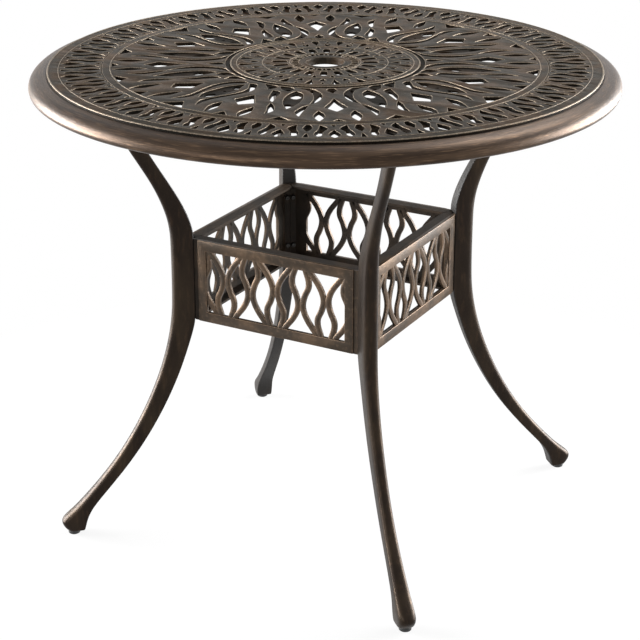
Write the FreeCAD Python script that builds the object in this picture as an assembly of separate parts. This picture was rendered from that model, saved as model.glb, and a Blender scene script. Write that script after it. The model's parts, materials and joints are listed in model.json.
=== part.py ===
import FreeCAD, Part
import math
import os

# Round patio table in cast aluminium with a hole for an umbrella pole. Millimetres, +Z up.
# The origin is on the floor under the middle of the top.
os.makedirs("parts", exist_ok=True)
V = FreeCAD.Vector
UP = V(0, 0, 1)
CENTRE = V(0, 0, 0)

# Whole table
table_height = 745.0
rim_radius = 445.0
rim_width = 28.0
plate_thick = 6.0
fit_gap = 0.4
thread_gap = 0.05

# Moulded rim: a roll with a curl below it, and a ledge for the disc
rim_depth = 31.0
rim_step = 4.0
roll_shoulder = 1.2
rim_neck_wall = 2.5
rim_waist_wall = 11.0
rim_belly_wall = 5.5
rim_foot_wall = 10.0
roll_reach = 25.0
roll_rise = 17.3
curl_radius = 8.5
curl_angle = 76.0
roll_facets = 6
curl_facets = 3
ledge_width = 18.0
ledge_thick = 4.5

# Zones of the pierced top, from the edge inwards
edge_band_width = 19.0
border_width = 80.0
plain_ring_width = 13.5
band_margin = 1.5

# Medallion and umbrella hole
medallion_radius = 144.0
seat_wall = 4.0
seat_overlap = 8.0
seat_thick = 4.0
umbrella_bore = 27.5
umbrella_lip = 2.0
hub_wall = 7.5
hub_depth = 11.5
medallion_rows = (0.05, 0.14, 0.21, 0.41, 0.51, 0.59, 0.72, 0.785, 0.865)

# Rib and bosses under the plain ring
rib_width = 10.5
rib_drop = 8.0
boss_radius = 7.5
bolt_offset = 19.5

# Turn of each pattern about the middle, in degrees
quarter_turn = 90.0
field_turn = -57.9
band_turn = -59.4
medallion_turn = -63.1
band_count = 32
medallion_count = 20

# Legs, along the diagonals of the square base
leg_turn = 45.0
leg_inner_radius = 213.0
leg_flat_margin = 7.0
palm_width = 52.0
palm_inward = 16.0
palm_outward = 23.0
palm_thick = 8.0
palm_corner = 8.0
foot_underside = 7.3
foot_widest = 25.0
foot_radius = 420.0
section_corner_width = 0.26
section_corner_depth = 0.17

# Apron grilles
apron_share_up = 0.473
apron_share_out = 0.7535
apron_height = 133.0
apron_thick = 6.0
apron_end_reach = 5.7
apron_rail = 16.5
apron_stile = 14.5
apron_recess = 1.2
flange_width = 16.0
flange_thick = 4.0
end_flange_thick = 4.0
end_step = 2.0
mitre_gap = 0.5
weld_overlap = 0.5
strip_width = 8.6
strip_periods = 2.754
strip_facets = 9

# Fasteners: an M6 flange bolt, an M5 pan-head screw and an M4 screw. Small round bars have few sides.
bar_sides = 8
m6_radius = 3.0
m6_clearance = 3.3
m6_flange_radius = 5.6
m6_flange_thick = 1.5
m6_hex_corner = 5.2
m6_hex_height = 4.5
m6_engage = 10.0
m5_radius = 2.5
m5_clearance = 2.75
m5_head_radius = 4.3
m5_head_height = 3.0
m5_engage = 12.0
m5_offset = 5.0
m5_edge = 24.0
m4_radius = 2.0
m4_clearance = 2.2
m4_head_radius = 3.8
m4_head_height = 2.6
m4_engage = 4.0
tap_extra = 1.5

# Screw-in glides
glide_sides = 24
glide_height = 7.0
glide_radius = 9.5
glide_base_radius = 7.8
glide_tread = 1.2
stud_radius = 3.0
stud_length = 20.0
stud_floor = 1.8
stud_relief = 0.4
stud_room = 10.5
collar_radius = 4.2
collar_bottom = 3.2
collar_height = 1.4
insert_radius = 5.0
insert_length = 12.0
bore_run = 0.05

# Worked out from the sizes above
disc_radius = rim_radius - rim_width
ring_outer = disc_radius - border_width
ring_inner = ring_outer - plain_ring_width
bolt_circle = (ring_inner + ring_outer) / 2
plate_bottom = table_height - plate_thick
rib_bottom = plate_bottom - rib_drop
palm_bottom = rib_bottom - palm_thick
seat_bottom = plate_bottom - seat_thick
seat_outer = medallion_radius + fit_gap + seat_wall
apron_bottom = apron_share_up * table_height
apron_top = apron_bottom + apron_height
leg_flat_bottom = apron_bottom - leg_flat_margin
leg_flat_top = apron_top + leg_flat_margin
apron_offset = apron_share_out * leg_inner_radius
apron_half_length = leg_inner_radius * math.sqrt(2) - apron_offset - apron_end_reach
window_half = apron_half_length - apron_stile
window_height = apron_height - 2 * apron_rail
strip_period = 2 * window_half / strip_periods


def ring_point(angle, radius, z=0.0):
    a = math.radians(angle)
    return V(radius * math.cos(a), radius * math.sin(a), z)


def tube(outer, inner, bottom, top):
    body = Part.makeCylinder(outer, top - bottom, V(0, 0, bottom))
    return body.cut(Part.makeCylinder(inner, top - bottom, V(0, 0, bottom)))


def prism(points, bottom, height):
    wire = Part.makePolygon(points + [points[0]])
    flat = Part.Face(wire)
    flat.translate(V(0, 0, bottom))
    return flat.extrude(V(0, 0, height))


def bar(radius, bottom, height, sides=bar_sides):
    return prism([ring_point(360.0 * k / sides, radius) for k in range(sides)], bottom, height)


def bore(radius, bottom, height, sides=bar_sides):
    """A hole that any bar of that radius fits, however it is turned."""
    return bar(radius / math.cos(math.pi / sides), bottom, height, sides)


def moved(shape, place):
    copy = shape.copy()
    copy.translate(place)
    return copy


def turned(shape, angle):
    copy = shape.copy()
    copy.rotate(CENTRE, UP, angle)
    return copy


def lying(shape, place):
    """Lays an upright shape along +X, and moves it to its place."""
    copy = shape.copy()
    copy.rotate(CENTRE, V(0, 1, 0), quarter_turn)
    return moved(copy, place)


def save(name, shapes):
    shape = shapes if isinstance(shapes, Part.Shape) else Part.makeCompound(shapes)
    shape.exportStep("parts/" + name + ".step")
    print(name, len(shape.Solids), "solids", round(shape.Volume), "mm3", shape.isValid())


# Pierced patterns. An outline is a list of (angle from its axis, share of its zone).
def outline_points(outline, turn, side, inner, outer):
    return [ring_point(turn + side * a, inner + share * (outer - inner)) for a, share in outline]


def closed_on_axis(half):
    other = [(-a, share) for a, share in reversed(half) if a != 0]
    return half + other


FIELD_ON_A_AXIS = [
    [(0, 0.71), (3.6, 0.59), (1.3, 0.43), (0, 0.33)],
    [(0, 0.165), (2.0, 0.07), (0, 0.02)],
    [(0, 0.93), (1.6, 0.985)],
]

FIELD_ON_B_AXIS = [
    [(0, 0.85), (3.6, 0.985)],
    [(0, 0.66), (2.5, 0.56), (0, 0.47)],
    [(0, 0.42), (0.9, 0.38), (0, 0.35)],
    [(0, 0.31), (2.8, 0.25), (0, 0.18)],
]

FIELD_MIRRORED = [
    [(4.8, 0.98), (6.3, 0.86), (6.2, 0.78), (5.3, 0.69), (3.8, 0.78), (3.6, 0.87)],
    [(10.3, 0.86), (11.9, 0.75), (11.6, 0.68), (10.3, 0.58), (8.9, 0.53), (9.3, 0.63), (9.9, 0.72)],
    [(8.5, 0.515), (7.7, 0.39), (7.5, 0.32), (5.6, 0.165), (4.7, 0.24), (4.8, 0.31), (6.3, 0.43)],
    [(9.2, 0.18), (10.2, 0.13), (11.8, 0.07), (9.8, 0.06), (8.7, 0.105)],
    [(12.6, 0.07), (16.0, 0.055), (18.2, 0.02), (14.5, 0.02)],
    [(15.0, 0.665), (16.3, 0.58), (17.2, 0.515), (15.8, 0.48), (14.2, 0.52), (14.0, 0.59)],
    [(15.0, 0.355), (17.6, 0.31), (18.5, 0.25), (16.4, 0.165), (13.8, 0.21), (12.5, 0.29)],
    [(19.6, 0.84), (20.1, 0.74), (21.3, 0.62), (21.6, 0.53), (19.3, 0.63), (18.3, 0.75)],
    [(21.7, 0.49), (24.2, 0.415), (25.6, 0.32), (26.3, 0.24), (25.4, 0.195), (22.7, 0.34)],
    [(11.6, 0.985), (15.0, 0.89), (17.6, 0.985)],
    [(21.0, 0.14), (23.5, 0.11), (23.2, 0.06), (20.3, 0.08)],
    [(25.3, 0.98), (26.6, 0.87), (26.0, 0.77), (25.0, 0.685), (24.0, 0.77), (23.9, 0.87)],
    [(30.4, 0.67), (34.6, 0.545), (31.3, 0.37), (28.8, 0.47), (26.3, 0.58)],
    [(34.7, 0.975), (36.6, 0.84), (37.0, 0.77), (36.2, 0.665), (34.8, 0.75), (34.1, 0.83)],
    [(28.2, 0.985), (30.4, 0.89), (31.8, 0.985)],
    [(40.3, 0.855), (42.4, 0.71), (41.2, 0.58), (39.3, 0.45), (39.6, 0.56), (40.8, 0.68)],
    [(37.3, 0.37), (39.2, 0.22), (41.5, 0.16), (44.0, 0.10), (41.0, 0.10), (38.0, 0.155), (36.6, 0.25)],
    [(31.5, 0.13), (33.8, 0.07), (31.6, 0.02), (29.4, 0.055)],
]

BAND_DROP = [(0, 0.99), (1.15, 0.79), (0.95, 0.65), (0, 0.41)]
BAND_LENS = [(0, 0.53), (0.95, 0.27), (0.9, 0.18), (0.45, 0.01)]
BAND_TOP_NOTCH = [(0, 0.66), (0.55, 0.96)]
BAND_FOOT_NOTCH = [(0, 0.15), (0.5, 0.01)]
BAND_SIDE_SLOT = [(3.2, 0.88), (4.0, 0.72), (3.25, 0.36), (3.0, 0.01), (1.35, 0.26), (2.4, 0.56), (2.5, 0.78)]


def field_outlines():
    wires = []
    inner, outer = seat_outer, ring_inner
    for quarter in range(4):
        a_axis = field_turn + quarter_turn * quarter
        for half in FIELD_ON_A_AXIS:
            wires.append(outline_points(closed_on_axis(half), a_axis, 1, inner, outer))
        for half in FIELD_ON_B_AXIS:
            wires.append(outline_points(closed_on_axis(half), a_axis + 45, 1, inner, outer))
        for outline in FIELD_MIRRORED:
            for side in (1, -1):
                wires.append(outline_points(outline, a_axis, side, inner, outer))
    return wires


def band_outlines():
    wires = []
    step = 360.0 / band_count
    inner = ring_outer + band_margin
    outer = disc_radius - edge_band_width
    for k in range(band_count):
        axis = band_turn + step * k
        for half in (BAND_DROP, BAND_FOOT_NOTCH):
            wires.append(outline_points(closed_on_axis(half), axis, 1, inner, outer))
        for half in (BAND_LENS, BAND_TOP_NOTCH):
            wires.append(outline_points(closed_on_axis(half), axis + step / 2, 1, inner, outer))
        for side in (1, -1):
            wires.append(outline_points(BAND_SIDE_SLOT, axis, side, inner, outer))
    return wires


def medallion_outlines():
    """A row is an outline with its two radii, on the axis of a slot or between two slots."""
    hub_outer = umbrella_bore + hub_wall
    radii = [hub_outer + share * (medallion_radius - hub_outer) for share in medallion_rows]
    bar_in, bar_out, slot_in, slot_out, drop_out, heart_in, heart_out, bud_in, bud_out = radii
    on_slot = (
        ([(-2.0, 0), (2.0, 0), (2.0, 1), (-2.0, 1)], bar_in, bar_out),
        ([(-4.4, 0), (4.4, 0), (4.2, 0.75), (2.6, 1), (-2.6, 1), (-4.2, 0.75)], slot_in, slot_out),
        ([(0, 0), (2.4, 0.7), (1.8, 1), (0, 0.72), (-1.8, 1), (-2.4, 0.7)], heart_in, heart_out),
        ([(0, 0), (0.9, 0.6), (0, 1), (-0.9, 0.6)], bud_in, bud_out),
    )
    between = (
        ([(-3.8, 0), (3.8, 0), (3.6, 1), (-3.6, 1)], bar_in, bar_out),
        ([(0, 0), (1.5, 0.5), (1.3, 1), (-1.3, 1), (-1.5, 0.5)], slot_out, drop_out),
        ([(0, 0), (0.6, 0.35), (2.4, 0.8), (2.1, 1), (-2.1, 1), (-2.4, 0.8), (-0.6, 0.35)],
         heart_in, bud_out),
    )
    wires = []
    step = 360.0 / medallion_count
    for k in range(medallion_count):
        slot_axis = medallion_turn + step * k
        for rows, axis in ((on_slot, slot_axis), (between, slot_axis + step / 2)):
            for outline, inner, outer in rows:
                wires.append(outline_points(outline, axis, 1, inner, outer))
    return wires


def pierced_plate(outer, inner, outlines):
    rings = [Part.Wire(Part.makeCircle(outer)), Part.Wire(Part.makeCircle(inner))]
    holes = [Part.makePolygon(points + [points[0]]) for points in outlines]
    flat = Part.Face(rings + holes, "Part::FaceMakerBullseye")
    flat.translate(V(0, 0, plate_bottom))
    return flat.extrude(V(0, 0, plate_thick))


# The rolled rim, one ring turned about the middle. A point is (radius, depth below the top).
def roll_outline():
    """The roll is a quarter of an ellipse, and the curl below it a part of a circle."""
    widest = rim_step + roll_shoulder + roll_rise
    points = []
    for k in range(roll_facets):
        t = math.radians(quarter_turn * k / (roll_facets - 1))
        points.append((rim_radius - roll_reach * (1 - math.sin(t)), widest - roll_rise * math.cos(t)))
    for k in range(1, curl_facets + 1):
        t = math.radians(curl_angle * k / curl_facets)
        points.append((rim_radius - curl_radius * (1 - math.cos(t)), widest + curl_radius * math.sin(t)))
    return points


def rim_moulding():
    lip = disc_radius + fit_gap
    ledge_inner = disc_radius - ledge_width
    ledge_bottom = plate_thick + ledge_thick
    roll = roll_outline()
    inside = [
        (rim_radius - rim_foot_wall, rim_depth),
        (rim_radius - rim_belly_wall, rim_depth - curl_radius),
        (rim_radius - rim_waist_wall, rim_depth / 2),
        (lip + rim_neck_wall, ledge_bottom),
        (ledge_inner, ledge_bottom),
        (ledge_inner, plate_thick),
        (lip, plate_thick),
    ]
    outline = [(lip, rim_step)] + roll[:-1] + [(roll[-1][0], rim_depth)] + inside
    points = [V(radius, 0, table_height - depth) for radius, depth in outline]
    return Part.Face(Part.makePolygon(points + [points[0]])).revolve(CENTRE, UP, 360)


# The pierced disc with its rib ring, bolt bosses and the seat of the medallion
def boss_places():
    places = []
    for corner in range(4):
        for side in (1, -1):
            place = V(bolt_circle, side * bolt_offset, 0)
            places.append(FreeCAD.Rotation(UP, leg_turn + quarter_turn * corner).multVec(place))
    return places


def screw_places():
    radius = medallion_radius - seat_overlap / 2
    return [ring_point(leg_turn + quarter_turn * corner, radius) for corner in range(4)]


def top_grille():
    plate = pierced_plate(disc_radius, medallion_radius + fit_gap, field_outlines() + band_outlines())
    rib = tube(bolt_circle + rib_width / 2, bolt_circle - rib_width / 2, rib_bottom, plate_bottom)
    seat = tube(seat_outer, medallion_radius - seat_overlap, seat_bottom, plate_bottom)
    bosses = [moved(bar(boss_radius, rib_bottom, rib_drop), place) for place in boss_places()]
    body = plate.fuse([rib, seat] + bosses).removeSplitter()
    tapped = bore(m6_radius + thread_gap, rib_bottom, m6_engage + tap_extra)
    clear = bore(m4_clearance, seat_bottom, seat_thick)
    holes = [moved(tapped, place) for place in boss_places()]
    holes += [moved(clear, place) for place in screw_places()]
    return body.cut(Part.makeCompound(holes))


# The medallion with its hub round the umbrella hole
def centre_medallion():
    plate = pierced_plate(medallion_radius, umbrella_bore, medallion_outlines())
    hub = tube(umbrella_bore + hub_wall, umbrella_bore, table_height - hub_depth, plate_bottom)
    mouth = Part.makeCone(umbrella_bore, umbrella_bore + umbrella_lip, umbrella_lip,
                          V(0, 0, table_height - umbrella_lip))
    body = plate.fuse(hub).removeSplitter().cut(mouth)
    tapped = bore(m4_radius + thread_gap, plate_bottom, m4_engage + thread_gap)
    return body.cut(Part.makeCompound([moved(tapped, place) for place in screw_places()]))


# A cast leg is lofted through level cuts. A cut is (share of the way, share of the reach, depth, width).
LEG_ABOVE_APRON = [
    (1.0, 0.93, 29.0, 18.0),
    (0.81, 0.77, 27.5, 15.0),
    (0.63, 0.60, 26.5, 14.0),
    (0.47, 0.418, 25.0, 14.5),
    (0.29, 0.213, 26.5, 17.0),
    (0.13, 0.064, 31.0, 21.0),
    (0.0, 0.0, 34.0, 24.0),
]
LEG_AT_APRON = [(0.5, 0.0, 33.5, 25.0)]
LEG_BELOW_APRON = [
    (0.0, 0.0, 37.0, 24.0),
    (0.14, 0.070, 31.5, 21.5),
    (0.33, 0.176, 30.5, 20.0),
    (0.52, 0.331, 27.5, 19.0),
    (0.675, 0.493, 26.0, 19.5),
    (0.80, 0.655, 25.0, 21.0),
    (0.89, 0.79, 24.0, 23.0),
    (0.95, 0.86, 28.0, 25.0),
    (1.0, 0.902, 40.5, 28.0),
]
FOOT = [
    (0.0, 0.902, 40.5, 28.0),
    (0.55, 0.914, 35.0, 28.0),
    (1.0, 0.92, 26.5, 26.0),
]


def leg_cut(cut, start, end, reach):
    share, out, depth, width = cut
    z = start + share * (end - start)
    inner = leg_inner_radius + out * reach
    outer = inner + depth
    half = width / 2
    shoulder = half - section_corner_width * width
    back = outer - section_corner_depth * depth
    points = [V(inner, -half, z), V(back, -half, z), V(outer, -shoulder, z),
              V(outer, shoulder, z), V(back, half, z), V(inner, half, z)]
    return Part.makePolygon(points + [points[0]])


def leg_shaft():
    up = bolt_circle - leg_inner_radius
    down = foot_radius - leg_inner_radius
    cuts = [leg_cut(cut, leg_flat_top, palm_bottom + weld_overlap, up) for cut in LEG_ABOVE_APRON]
    cuts += [leg_cut(cut, leg_flat_bottom, leg_flat_top, up) for cut in LEG_AT_APRON]
    cuts += [leg_cut(cut, leg_flat_bottom, foot_widest, down) for cut in LEG_BELOW_APRON]
    foot = [leg_cut(cut, foot_widest, foot_underside, down) for cut in FOOT]
    return Part.makeLoft(cuts, True, False), Part.makeLoft(foot, True, True)


def palm_plate():
    inner, outer, half = bolt_circle - palm_inward, bolt_circle + palm_outward, palm_width / 2
    one_side = [(inner, half - palm_corner), (inner + palm_corner, half),
                (outer - palm_corner, half), (outer, half - palm_corner)]
    points = [V(x, y, 0) for x, y in one_side] + [V(x, -y, 0) for x, y in reversed(one_side)]
    return prism(points, palm_bottom, palm_thick)


def apron_screw_places():
    """Places on the leg's inner face, in the frame of a leg along +X."""
    heights = (apron_bottom + m5_edge, apron_top - m5_edge)
    return [V(leg_inner_radius, side * m5_offset, z) for side in (1, -1) for z in heights]


def cast_leg():
    shaft, foot = leg_shaft()
    body = shaft.fuse([foot, palm_plate()]).removeSplitter()
    flat_cut = Part.makeBox(leg_inner_radius, palm_width, leg_flat_top - leg_flat_bottom,
                            V(0, -palm_width / 2, leg_flat_bottom))
    clear = bore(m6_clearance, palm_bottom, palm_thick)
    tapped = bore(m5_radius + thread_gap, -1, m5_engage + tap_extra + 1)
    cuts = [flat_cut]
    cuts += [moved(clear, V(bolt_circle, side * bolt_offset, 0)) for side in (1, -1)]
    cuts += [lying(tapped, place) for place in apron_screw_places()]
    cuts.append(moved(bar(insert_radius, foot_underside, insert_length, glide_sides), V(foot_radius, 0, 0)))
    cuts.append(moved(bore(stud_radius + stud_relief, foot_underside, insert_length + stud_room),
                      V(foot_radius, 0, 0)))
    return body.cut(cuts)


# An apron grille lies along +X with its face towards -Y, and is turned to each side.
# A strip keeps half a lens width from its middle: (share of the window's height, distance).
STRIP_WAVE = [(-0.02, 8.9), (0.23, 14.5), (0.5, 4.4), (0.62, 4.8), (0.78, 11.7), (1.02, 29.0)]


def strip_side(centre, upside_down, side, edge):
    points = []
    for share, out in STRIP_WAVE:
        height = (1 - share if upside_down else share) * window_height
        points.append(V(centre + side * out + edge * strip_width / 2, 0, height))
    curve = Part.BSplineCurve()
    curve.interpolate(points)
    return curve.discretize(Number=strip_facets)


def lattice_strips(flipped):
    reach = int(window_half / (strip_period / 2)) + 1
    strips = []
    for k in range(-reach, reach + 1):
        upside_down = (k % 2 == 1) != flipped
        for side in (1, -1):
            there = strip_side(k * strip_period / 2, upside_down, side, -1)
            back = strip_side(k * strip_period / 2, upside_down, side, 1)
            outline = there + back[::-1]
            face = Part.Face(Part.makePolygon(outline + [outline[0]]))
            strips.append(face.extrude(V(0, apron_thick - apron_recess, 0)))
    lattice = strips[0].fuse(strips[1:])
    lattice.translate(V(0, apron_recess - apron_offset, apron_bottom + apron_rail))
    room = Part.makeBox(2 * window_half, apron_thick, window_height + 2 * weld_overlap,
                        V(-window_half, -apron_offset, apron_bottom + apron_rail - weld_overlap))
    return lattice.common(room)


def corner_lines():
    """x plus depth along the leg's face and along the back of the end flange."""
    face = leg_inner_radius * math.sqrt(2)
    return face, face - end_flange_thick * math.sqrt(2), mitre_gap * math.sqrt(2)


def end_flange_points():
    face, back, gap = corner_lines()
    front = apron_offset - end_step
    rear = apron_offset - apron_thick
    root = apron_half_length - weld_overlap
    return [V(root, -front, 0), V(face - front, -front, 0),
            V((face - gap) / 2, -(face + gap) / 2, 0), V((back - gap) / 2, -(back + gap) / 2, 0),
            V(back - rear, -rear, 0), V(root, -rear, 0)]


def level_flange_points():
    face, back, gap = corner_lines()
    rear = apron_offset - apron_thick + weld_overlap
    tip = apron_offset - apron_thick - flange_width
    right = [V(apron_half_length, -rear, 0), V(back - rear + weld_overlap, -rear, 0),
             V((back - gap + weld_overlap) / 2, -(back + gap + weld_overlap) / 2, 0), V(tip - gap, -tip, 0)]
    return right + [V(-p.x, p.y, 0) for p in reversed(right)]


def apron_grille(flipped):
    plate = Part.makeBox(2 * apron_half_length, apron_thick, apron_height,
                         V(-apron_half_length, -apron_offset, apron_bottom))
    window = Part.makeBox(2 * window_half, apron_thick, window_height,
                          V(-window_half, -apron_offset, apron_bottom + apron_rail))
    level = level_flange_points()
    end = end_flange_points()
    other_end = [V(-p.x, p.y, 0) for p in end]
    pieces = [prism(level, apron_bottom, flange_thick), prism(level, apron_top - flange_thick, flange_thick),
              prism(end, apron_bottom, apron_height), prism(other_end, apron_bottom, apron_height),
              lattice_strips(flipped)]
    body = plate.cut(window).fuse(pieces).removeSplitter()
    through = bore(m5_clearance, -end_flange_thick - 1, end_flange_thick + 2)
    holes = []
    for place in apron_screw_places():
        angle = -leg_turn if place.y < 0 else leg_turn - 2 * quarter_turn
        holes.append(turned(lying(through, place), angle))
    return body.cut(holes)


# Fasteners are drawn along +Z from the seat of the head, with the head below
def flange_bolt(shank_length):
    shank = bar(m6_radius, 0, shank_length)
    flange = bar(m6_flange_radius, -m6_flange_thick, m6_flange_thick, 2 * bar_sides)
    head = bar(m6_hex_corner, -m6_flange_thick - m6_hex_height, m6_hex_height, 6)
    return shank.fuse([flange, head]).removeSplitter()


def headed_screw(radius, shank_length, head_radius, head_height):
    shank = bar(radius, 0, shank_length)
    head = bar(head_radius, -head_height, head_height)
    return shank.fuse(head).removeSplitter()


def leg_top_bolts():
    bolt = flange_bolt(palm_thick + m6_engage)
    return [moved(bolt, place + V(0, 0, palm_bottom)) for place in boss_places()]


def medallion_screws():
    screw = headed_screw(m4_radius, seat_thick + m4_engage, m4_head_radius, m4_head_height)
    return [moved(screw, place + V(0, 0, seat_bottom)) for place in screw_places()]


def apron_screws():
    screw = headed_screw(m5_radius, end_flange_thick + m5_engage, m5_head_radius, m5_head_height)
    of_one_leg = [lying(screw, place - V(end_flange_thick, 0, 0)) for place in apron_screw_places()]
    return [turned(shape, leg_turn + quarter_turn * corner) for corner in range(4) for shape in of_one_leg]


# Glide, stud and insert of one foot, drawn on the Z axis
def glide():
    rings = []
    for radius, z in ((glide_base_radius, 0), (glide_radius, glide_tread)):
        points = [ring_point(360.0 * k / glide_sides, radius, z) for k in range(glide_sides)]
        rings.append(Part.makePolygon(points + [points[0]]))
    tread = Part.makeLoft(rings, True, True)
    wall = bar(glide_radius, glide_tread, glide_height - glide_tread, glide_sides)
    neck = bore(stud_radius + bore_run, stud_floor, glide_height)
    pocket = bore(collar_radius + bore_run, collar_bottom - bore_run, collar_height + 2 * bore_run)
    return tread.fuse(wall).removeSplitter().cut([neck, pocket])


def stud():
    bottom = stud_floor + bore_run
    shank = Part.makeCylinder(stud_radius, glide_height + stud_length - bottom, V(0, 0, bottom))
    return shank.fuse(bar(collar_radius, collar_bottom, collar_height)).removeSplitter()


def foot_insert():
    body = bar(insert_radius, foot_underside, insert_length, glide_sides)
    return body.cut(bore(stud_radius + bore_run, foot_underside, insert_length))


def main():
    save("rim_moulding", rim_moulding())
    save("top_grille", top_grille())
    save("centre_medallion", centre_medallion())
    save("medallion_screws", medallion_screws())
    leg = cast_leg()
    at_foot = V(foot_radius, 0, 0)
    foot_parts = {"glide_": moved(glide(), at_foot), "stud_": moved(stud(), at_foot)}
    corners = ("right", "back", "left", "front")
    for k, name in enumerate(corners):
        angle = leg_turn + quarter_turn * k
        save("leg_" + name, turned(leg, angle))
        for part, shape in foot_parts.items():
            save(part + name, turned(shape, angle))
    insert = moved(foot_insert(), at_foot)
    save("foot_inserts", [turned(insert, leg_turn + quarter_turn * k) for k in range(4)])
    grilles = {flipped: apron_grille(flipped) for flipped in (False, True)}
    sides = (("front_left", False), ("front_right", True), ("back_right", False), ("back_left", False))
    for k, (name, flipped) in enumerate(sides):
        save("apron_" + name, turned(grilles[flipped], quarter_turn * k))
    save("leg_top_bolts", leg_top_bolts())
    save("apron_screws", apron_screws())


main()
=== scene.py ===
# %% [markdown]
# # A round umbrella table, dressed for its portrait
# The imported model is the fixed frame. It has every casting, bolt and glide of the table at its
# real size, in metres. Each piece made here stands where its casting stands, rides on the same
# body, and has the finer surface that the construction model leaves out.

# %% Load the frame
import json
import math

import bmesh
import bpy
from mathutils import Matrix, Vector


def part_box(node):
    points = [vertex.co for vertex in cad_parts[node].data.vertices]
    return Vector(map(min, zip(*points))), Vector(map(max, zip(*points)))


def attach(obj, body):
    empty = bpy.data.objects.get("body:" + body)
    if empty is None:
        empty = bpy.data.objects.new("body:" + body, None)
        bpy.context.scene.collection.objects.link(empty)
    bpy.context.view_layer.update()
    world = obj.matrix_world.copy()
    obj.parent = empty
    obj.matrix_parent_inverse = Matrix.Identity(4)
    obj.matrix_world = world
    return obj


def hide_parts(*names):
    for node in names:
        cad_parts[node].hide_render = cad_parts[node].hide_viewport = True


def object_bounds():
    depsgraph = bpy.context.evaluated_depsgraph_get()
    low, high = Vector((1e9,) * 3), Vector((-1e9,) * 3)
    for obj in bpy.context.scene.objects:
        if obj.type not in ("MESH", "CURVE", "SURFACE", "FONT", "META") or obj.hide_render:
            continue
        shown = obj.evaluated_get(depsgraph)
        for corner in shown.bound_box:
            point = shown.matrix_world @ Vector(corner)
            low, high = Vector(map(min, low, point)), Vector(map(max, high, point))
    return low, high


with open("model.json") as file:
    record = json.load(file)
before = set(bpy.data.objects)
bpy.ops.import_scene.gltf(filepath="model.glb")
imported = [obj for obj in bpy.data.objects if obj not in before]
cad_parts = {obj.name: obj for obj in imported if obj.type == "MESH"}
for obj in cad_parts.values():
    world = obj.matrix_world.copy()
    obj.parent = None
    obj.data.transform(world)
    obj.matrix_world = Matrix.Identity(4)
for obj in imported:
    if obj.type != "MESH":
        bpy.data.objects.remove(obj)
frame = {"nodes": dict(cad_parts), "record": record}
cad_low, cad_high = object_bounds()
MM = 0.001
TOP = cad_high.z
RIM_RADIUS = cad_high.x
print("table", round(2 * RIM_RADIUS, 4), "m across and", round(TOP, 4), "m high")

# %% [markdown]
# ## Camera
# The photograph looks down on the table from a standing eye, a few metres off, with a long lens.
# The camera's place comes from the circles of the top and the four feet.

# %% Camera
EYE = (1.2468, -2.2740, 1.4014)
TILT, TURN = math.radians(67.40), math.radians(28.91)
LENS, FILM_WIDTH = 98.55, 36


def add_to_scene(name, data):
    holder = bpy.data.objects.new(name, data)
    bpy.context.scene.collection.objects.link(holder)
    return holder


camera = add_to_scene("camera", bpy.data.cameras.new("camera"))
camera.location = EYE
camera.rotation_euler = (TILT, 0, TURN)
camera.data.lens = LENS
camera.data.sensor_width = FILM_WIDTH
bpy.context.scene.camera = camera
print("camera", round(camera.location.length, 2), "m from the foot of the table")

# %% [markdown]
# ## White world
# The photograph's background is plain white. A bright world would wash the bronze out, so the
# world is white only to rays that see it directly, and gives the table a low ambient light. The
# Light Path node tells these rays apart.

# %% White world
AMBIENT = 0.24
bpy.context.scene.view_settings.view_transform = "Standard"


def link(tree, source, target):
    tree.links.new(source, target)


def math_node(tree, operation, first, second):
    node = tree.nodes.new("ShaderNodeMath")
    node.operation = operation
    for socket, value in zip(node.inputs, (first, second)):
        if isinstance(value, (int, float)):
            socket.default_value = value
        else:
            link(tree, value, socket)
    return node.outputs[0]


def plus(tree, first, second):
    return math_node(tree, "ADD", first, second)


def times(tree, first, second):
    return math_node(tree, "MULTIPLY", first, second)


def seen_directly(tree):
    path = tree.nodes.new("ShaderNodeLightPath")
    seen = plus(tree, path.outputs["Is Camera Ray"], path.outputs["Is Glossy Ray"])
    seen = plus(tree, seen, path.outputs["Is Transmission Ray"])
    return math_node(tree, "MINIMUM", seen, 1.0)


world = bpy.data.worlds.new("white_studio")
bpy.context.scene.world = world
world.use_nodes = True
sky = world.node_tree
background = sky.nodes["Background"]
background.inputs["Color"].default_value = (1, 1, 1, 1)
strength = plus(sky, times(sky, seen_directly(sky), 1.0 - AMBIENT), AMBIENT)
link(sky, strength, background.inputs["Strength"])
print("world gives", AMBIENT, "of white to the table")

# %% [markdown]
# ## Floor
# The floor is one large face. Seen directly it glows white: all of it far away, and somewhat less
# under the table. What is left there is plain matte paint, which takes the table's shadow.

# %% Floor
FLOOR_SIZE, FLOOR_GREY = 16.0, 0.60
NEAR_GLOW, FAR_GLOW = 0.86, 1.0
SHADOW_REACH = (0.50, 0.95)

bm = bmesh.new()
bmesh.ops.create_grid(bm, x_segments=1, y_segments=1, size=FLOOR_SIZE / 2)
floor_mesh = bpy.data.meshes.new("floor")
bm.to_mesh(floor_mesh)
bm.free()
floor = add_to_scene("floor", floor_mesh)

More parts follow.
